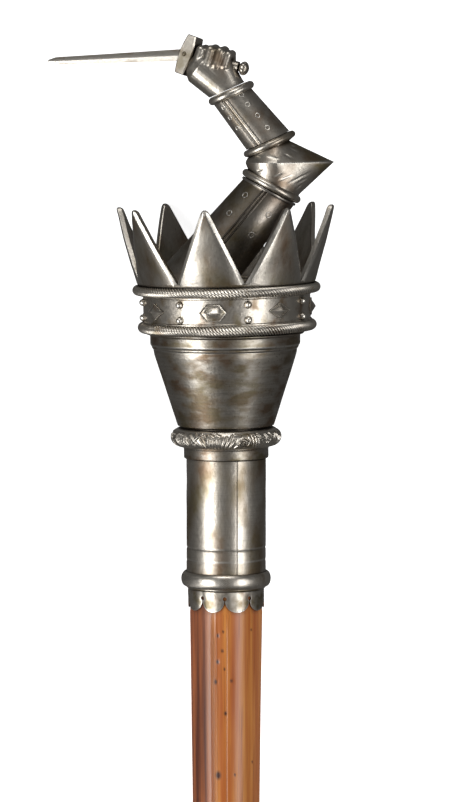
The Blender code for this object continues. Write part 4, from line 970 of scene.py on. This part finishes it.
def make_dagger():
    """Blade with a low ridge and a blunt tip, chamfered guard, grip and lobed pommel."""
    guard, pommel, along, up, forward = dagger_frame()
    across, back, long = guard_axes()
    finish = plated("dagger_finish", 0.5, 0.5, blotch=120.0)
    bar = Shape()
    rings = []
    for share in (-1.0, -0.97, -0.9, -0.8, -0.5, -0.2, 0.0, 0.2, 0.5, 0.8, 0.9, 0.97, 1.0):
        x = 0.5 * (GUARD_MIDDLE_WIDTH + (GUARD_END_WIDTH - GUARD_MIDDLE_WIDTH) * min(1.0, abs(share) ** 1.5))
        y = 0.5 * GUARD_DEPTH
        x, y = (x * 0.86, y * 0.88) if abs(share) == 1.0 else (x, y)
        corners = [(-x, -y + 0.5), (-x + 0.5, -y), (x - 0.5, -y), (x, -y + 0.5),
                   (x, y - 0.5), (x - 0.5, y), (-x + 0.5, y), (-x, y - 0.5)]
        rings.append([guard + across * a + back * b + long * share * GUARD_HALF_LENGTH
                      for a, b in corners])
    bar.skin(np.array(rings), 0.6)
    rivet = guard - back * (GUARD_DEPTH * 0.5 - 0.3) - across * 0.4
    bone(bar, rivet, rivet - back * 0.25, 1.15, 1.0)
    add_piece("dagger_guard", bar, finish, ["dagger"], 25.0)
    run = BLADE_TIP[0] - guard[0]
    tip = guard + (run, -run * math.tan(DAGGER_TURN), BLADE_TIP[1] - guard[2])
    root = guard - along * 0.6 + up * 0.35
    rings = []
    for share in np.concatenate((np.linspace(0.0, 0.95, 24), (0.975, 0.99, 1.0))):
        half = BLADE_WIDTH * 0.5 * (1.0 - 0.4 * share)
        deep = BLADE_THICKNESS * 0.5 * (1.0 - 0.4 * share)
        if share > 0.95:
            half *= 1.0 - 12.0 * (share - 0.95)
            deep *= 1.0 - 12.0 * (share - 0.95)
        place = root * (1.0 - share) + tip * share
        ridge = place - up * half * 0.12
        rings.append([place + up * half + forward * 0.12, ridge + forward * deep + up * 0.2,
                      ridge + forward * deep - up * 0.2, place - up * half + forward * 0.12,
                      place - up * half - forward * 0.12, ridge - forward * deep - up * 0.2,
                      ridge - forward * deep + up * 0.2, place + up * half - forward * 0.12])
    blade = Shape()
    blade.skin(np.array(rings), np.tile((0.5, 0.9, 0.9, 0.6, 0.5, 0.8, 0.8, 0.5), 27))
    add_piece("dagger_blade", blade, finish, ["dagger"], 20.0)
    total = np.linalg.norm(pommel - guard)
    turn = np.arange(72) * math.tau / 72
    rings = []
    for distance, radius in ((0.6, 2.5), (total - 2.6, 2.5)):
        rings.append(np.array([guard + along * distance + up * radius * math.cos(t)
                               + forward * radius * math.sin(t) for t in turn]))
    for angle in np.radians(np.linspace(-70.0, 88.0, 16)):
        radius = 3.2 * math.cos(angle) * (1.0 - 0.12 * (1.0 - abs(np.cos(3.0 * turn))))
        rings.append(guard + np.outer(np.ones(72), along) * (total + 2.3 * math.sin(angle))
                     + np.outer(radius * np.cos(turn), up) + np.outer(radius * np.sin(turn), forward))
    knob = Shape()
    knob.skin(np.array(rings))
    add_piece("dagger_grip", knob, finish, ["dagger"], 35.0)


class Tree:
    """Short way to add and link the nodes of one material."""

    def __init__(self, name):
        self.material = bpy.data.materials.new(name)
        self.material.use_nodes = True
        self.nodes = self.material.node_tree.nodes
        self.links = self.material.node_tree.links
        self.shader = self.nodes["Principled BSDF"]
        upright = self.nodes.new("ShaderNodeAttribute")
        upright.attribute_name = "upright"
        self.place = upright.outputs["Vector"]

    def link(self, source, target):
        """Link an output, or set a plain value."""
        if isinstance(source, bpy.types.NodeSocket):
            self.links.new(source, target)
        else:
            target.default_value = source

    def noise(self, scale, stretch=(1.0, 1.0, 1.0), detail=4.0, move=0.0):
        """Noise in the object's own space, per metre."""
        mapping = self.nodes.new("ShaderNodeMapping")
        self.link(self.place, mapping.inputs["Vector"])
        mapping.inputs["Scale"].default_value = stretch
        mapping.inputs["Location"].default_value = (move, move * 0.7, move * 1.3)
        node = self.nodes.new("ShaderNodeTexNoise")
        self.link(mapping.outputs["Vector"], node.inputs["Vector"])
        node.inputs["Scale"].default_value = scale
        node.inputs["Detail"].default_value = detail
        return node.outputs["Fac"]

    def spread(self, value, low, high, start=0.0, end=1.0):
        """Map a value from one span to another, held at the ends."""
        node = self.nodes.new("ShaderNodeMapRange")
        self.link(value, node.inputs["Value"])
        for name, number in zip(("From Min", "From Max", "To Min", "To Max"), (low, high, start, end)):
            node.inputs[name].default_value = number
        return node.outputs["Result"]

    def sum(self, kind, first, second):
        """Arithmetic on two values."""
        node = self.nodes.new("ShaderNodeMath")
        node.operation = kind
        node.use_clamp = True
        self.link(first, node.inputs[0])
        self.link(second, node.inputs[1])
        return node.outputs["Value"]

    def blend(self, share, first, second, kind="MIX"):
        """Blend two colours."""
        node = self.nodes.new("ShaderNodeMix")
        node.data_type = "RGBA"
        node.blend_type = kind
        self.link(share, node.inputs["Factor"])
        for socket, colour in ((node.inputs[6], first), (node.inputs[7], second)):
            self.link(colour if isinstance(colour, bpy.types.NodeSocket) else (*colour, 1.0), socket)
        return node.outputs[2]

    def attribute(self, name):
        """A number kept at each point of the mesh."""
        node = self.nodes.new("ShaderNodeAttribute")
        node.attribute_name = name
        return node.outputs["Fac"]

    def hollows(self, reach):
        """One in the open, falling to nought in hollows narrower than a reach in metres."""
        node = self.nodes.new("ShaderNodeAmbientOcclusion")
        node.samples = 6
        node.inputs["Distance"].default_value = reach
        return node.outputs["AO"]

    def bump(self, height, strength, distance):
        """Fine surface relief."""
        node = self.nodes.new("ShaderNodeBump")
        self.link(height, node.inputs["Height"])
        node.inputs["Strength"].default_value = strength
        node.inputs["Distance"].default_value = distance
        self.link(node.outputs["Normal"], self.shader.inputs["Normal"])


def plated(name, tone, tarnish, blotch=110.0, stretch=(1.0, 1.0, 1.0), streaks=0.0, speckle=0.5,
           shade_and_tarnish_right=0.0):
    """Silver plate, rubbed bright where it is worn or where its per-point value paints a highlight, browned
    in patches and hollows, and darkened on its right as painted shade and tarnish when asked.
    """
    tree = Tree(name)
    worn = tree.attribute("wear_stain_and_highlight")
    patches = tree.noise(blotch, stretch, 5.0, tone)
    mask = tree.spread(patches, 0.59 - 0.3 * tarnish, 0.77 - 0.27 * tarnish)
    mask = tree.sum("SUBTRACT", mask, tree.spread(worn, 0.45, 0.95))
    silver = (tone, tone * 0.925, tone * 0.81)
    brown = (tone * 0.42, tone * 0.29, tone * 0.19)
    olive = (tone * 0.44, tone * 0.37, tone * 0.23)
    tint = tree.blend(tree.spread(tree.noise(blotch * 0.6, (1, 1, 1), 3.0, 3.1), 0.4, 0.6), brown, olive)
    colour = tree.blend(mask, silver, tint)
    # Brighter silver where the per-point value is high: rubbed where worn, and on some pieces a painted
    # highlight.
    bright = tree.spread(worn, 0.6, 1.0)
    colour = tree.blend(bright, colour, (tone * 1.3, tone * 1.24, tone * 1.13))
    hollow = tree.spread(tree.hollows(0.0022), 0.3, 0.9, 1.0, 0.0)
    colour = tree.blend(tree.sum("MULTIPLY", hollow, 0.85), colour, (0.035, 0.026, 0.018))
    grain = tree.noise(900.0, (1.0, 1.0, 1.0), 3.0, 5.0)
    spots = tree.sum("MULTIPLY", tree.spread(grain, 0.6, 0.7), 0.55 * speckle)
    colour = tree.blend(spots, colour, (tone * 0.25, tone * 0.2, tone * 0.15))
    if streaks:
        lines = tree.noise(60.0, (1.0, 1.0, 26.0), 4.0, 9.0)
        shade = tree.sum("MULTIPLY", tree.spread(lines, 0.42, 0.62), 0.35 * streaks)
        colour = tree.blend(shade, colour, (tone * 0.5, tone * 0.43, tone * 0.35))
    # Painted shade and tarnish: the right side of the piece darkened towards brown-black.
    if shade_and_tarnish_right:
        apart = tree.nodes.new("ShaderNodeSeparateXYZ")
        tree.link(tree.place, apart.inputs["Vector"])
        side = tree.sum("MULTIPLY", tree.spread(apart.outputs["X"], 0.0, 0.022), shade_and_tarnish_right)
        colour = tree.blend(side, colour, (0.09, 0.06, 0.045))
    tree.link(colour, tree.shader.inputs["Base Color"])
    rough = tree.blend(mask, (0.3, 0.3, 0.3), (0.46, 0.46, 0.46))
    rough = tree.blend(tree.spread(grain, 0.3, 0.7), rough, (0.4, 0.4, 0.4))
    tree.link(rough, tree.shader.inputs["Roughness"])
    tree.shader.inputs["Metallic"].default_value = 1.0
    tree.bump(tree.noise(700.0, (1.0, 1.0, 1.0), 4.0, 7.0), 0.22, 0.0003)
    return tree.material


def wood_finish():
    """Varnished cane: dark reddish brown left of its ridge, partly stain and partly painted shade, honey
    orange right of it, streaked.
    """
    tree = Tree("malacca_finish")
    apart = tree.nodes.new("ShaderNodeSeparateXYZ")
    tree.link(tree.place, apart.inputs["Vector"])
    # Side mask: darker left of the ridge, partly stain and partly painted shade.
    edge = tree.spread(apart.outputs["X"], -0.0095, -0.0035)
    streak = tree.noise(420.0, (1.0, 1.0, 0.025), 5.0, 1.0)
    broad = tree.noise(130.0, (1.0, 1.0, 0.06), 3.0, 2.0)
    honey = tree.blend(tree.spread(streak, 0.35, 0.68), (0.66, 0.27, 0.06), (0.44, 0.12, 0.02))
    honey = tree.blend(tree.spread(broad, 0.45, 0.7), honey, (0.36, 0.085, 0.016))
    # Dark left colour: stain together with painted shade.
    red = tree.blend(tree.spread(streak, 0.35, 0.65), (0.3, 0.085, 0.022), (0.085, 0.022, 0.01))
    colour = tree.blend(edge, red, honey)
    fibre = tree.spread(tree.noise(1500.0, (1.0, 1.0, 0.02), 2.0, 4.0), 0.62, 0.72)
    colour = tree.blend(tree.sum("MULTIPLY", fibre, 0.5), colour, (0.16, 0.04, 0.012))
    colour = tree.blend(tree.spread(tree.attribute("wear_stain_and_highlight"), 0.15, 0.8), colour, (0.06, 0.022, 0.014))
    # Painted shade: the wood darkened in hollows and near the hem's edge.
    hollow = tree.spread(tree.hollows(0.003), 0.35, 0.95, 1.0, 0.0)
    colour = tree.blend(tree.sum("MULTIPLY", hollow, 0.8), colour, (0.03, 0.012, 0.006))
    tree.link(colour, tree.shader.inputs["Base Color"])
    tree.shader.inputs["Roughness"].default_value = 0.36
    tree.shader.inputs["Coat Weight"].default_value = 0.25
    tree.shader.inputs["Coat Roughness"].default_value = 0.2
    tree.bump(tree.noise(900.0, (1.0, 1.0, 0.03), 3.0, 6.0), 0.15, 0.0003)
    return tree.material


# Camera, seen from the upright staff, in millimetres
CAMERA_PLACE = (-0.54, -1845.0, 255.3)
CAMERA_TILT = math.radians(5.004)
PICTURE_HEIGHT_PIXELS = 802
FOCAL_PIXELS = 4115.7
SENSOR = 36.0


def add_camera():
    """Camera above the lying staff, at the angle of the photograph."""
    look = Vector((0.0, math.cos(CAMERA_TILT), -math.sin(CAMERA_TILT)))
    right = Vector((1.0, 0.0, 0.0))
    turn = Matrix((right, right.cross(look), -look)).transposed().to_4x4()
    lens = bpy.data.cameras.new("camera")
    lens.sensor_width = SENSOR
    lens.lens = FOCAL_PIXELS / PICTURE_HEIGHT_PIXELS * SENSOR
    lens.clip_end = 50.0
    camera = bpy.data.objects.new("camera", lens)
    bpy.context.scene.collection.objects.link(camera)
    camera.matrix_world = STAFF @ Matrix.Translation(Vector(CAMERA_PLACE) * METRES) @ turn
    bpy.context.scene.camera = camera


def add_light(name, bearing, toward_head, distance, width, length, energy):
    """Soft box beside the camera, aimed at the head of the staff."""
    aim = Vector((0.0, 0.0, 0.12))
    offset = Vector(polar(math.cos(math.radians(toward_head)), bearing,
                          math.sin(math.radians(toward_head))).tolist())
    light = bpy.data.lights.new(name, "AREA")
    light.shape = "RECTANGLE"
    light.size = width
    light.size_y = length
    light.energy = energy
    lamp = bpy.data.objects.new(name, light)
    bpy.context.scene.collection.objects.link(lamp)
    toward = -offset
    side = Vector((0.0, 0.0, 1.0)).cross(-toward).normalized()
    up = (-toward).cross(side)
    turn = Matrix((side, up, -toward)).transposed().to_4x4()
    lamp.matrix_world = STAFF @ Matrix.Translation(aim + offset * distance) @ turn
    lamp.visible_camera = False


def add_studio():
    """Pale floor, two soft boxes, a weaker one beyond the head, and a dim surround."""
    mesh = bpy.data.meshes.new("studio_floor")
    reach = 30.0
    mesh.from_pydata([(-reach, -reach, 0), (reach, -reach, 0), (reach, reach, 0), (-reach, reach, 0)],
                     [], [(0, 1, 2, 3)])
    floor = bpy.data.objects.new("studio_floor", mesh)
    bpy.context.scene.collection.objects.link(floor)
    tree = Tree("floor_finish_pale")
    tree.shader.inputs["Base Color"].default_value = (0.9, 0.9, 0.9, 1.0)
    tree.shader.inputs["Roughness"].default_value = 0.9
    tree.shader.inputs["Specular IOR Level"].default_value = 0.0
    tree.shader.inputs["Emission Color"].default_value = (1.0, 1.0, 1.0, 1.0)
    tree.shader.inputs["Emission Strength"].default_value = 0.8
    mesh.materials.append(tree.material)
    floor.visible_glossy = False
    add_light("left_box", -49.0, -12.0, 1.7, 0.75, 1.5, 24.0)
    add_light("right_box", 42.0, -6.0, 1.7, 0.6, 1.5, 13.0)
    add_light("head_box", -8.0, 62.0, 1.7, 0.9, 0.6, 8.0)
    world = bpy.data.worlds.new("studio")
    world.use_nodes = True
    world.node_tree.nodes["Background"].inputs["Color"].default_value = (1.0, 1.0, 1.0, 1.0)
    world.node_tree.nodes["Background"].inputs["Strength"].default_value = 0.08
    bpy.context.scene.world = world
    bpy.context.scene.view_settings.view_transform = "Standard"


add_camera()
make_cane()
make_ferrule()
make_hem()
make_tube()
make_bead()
make_cup()
make_leaf_ring()
make_crown()
make_band()
make_floor_plate()
make_upper_arm()
make_elbow()
make_forearm()
make_hand()
make_dagger()
add_studio()
bpy.context.view_layer.update()
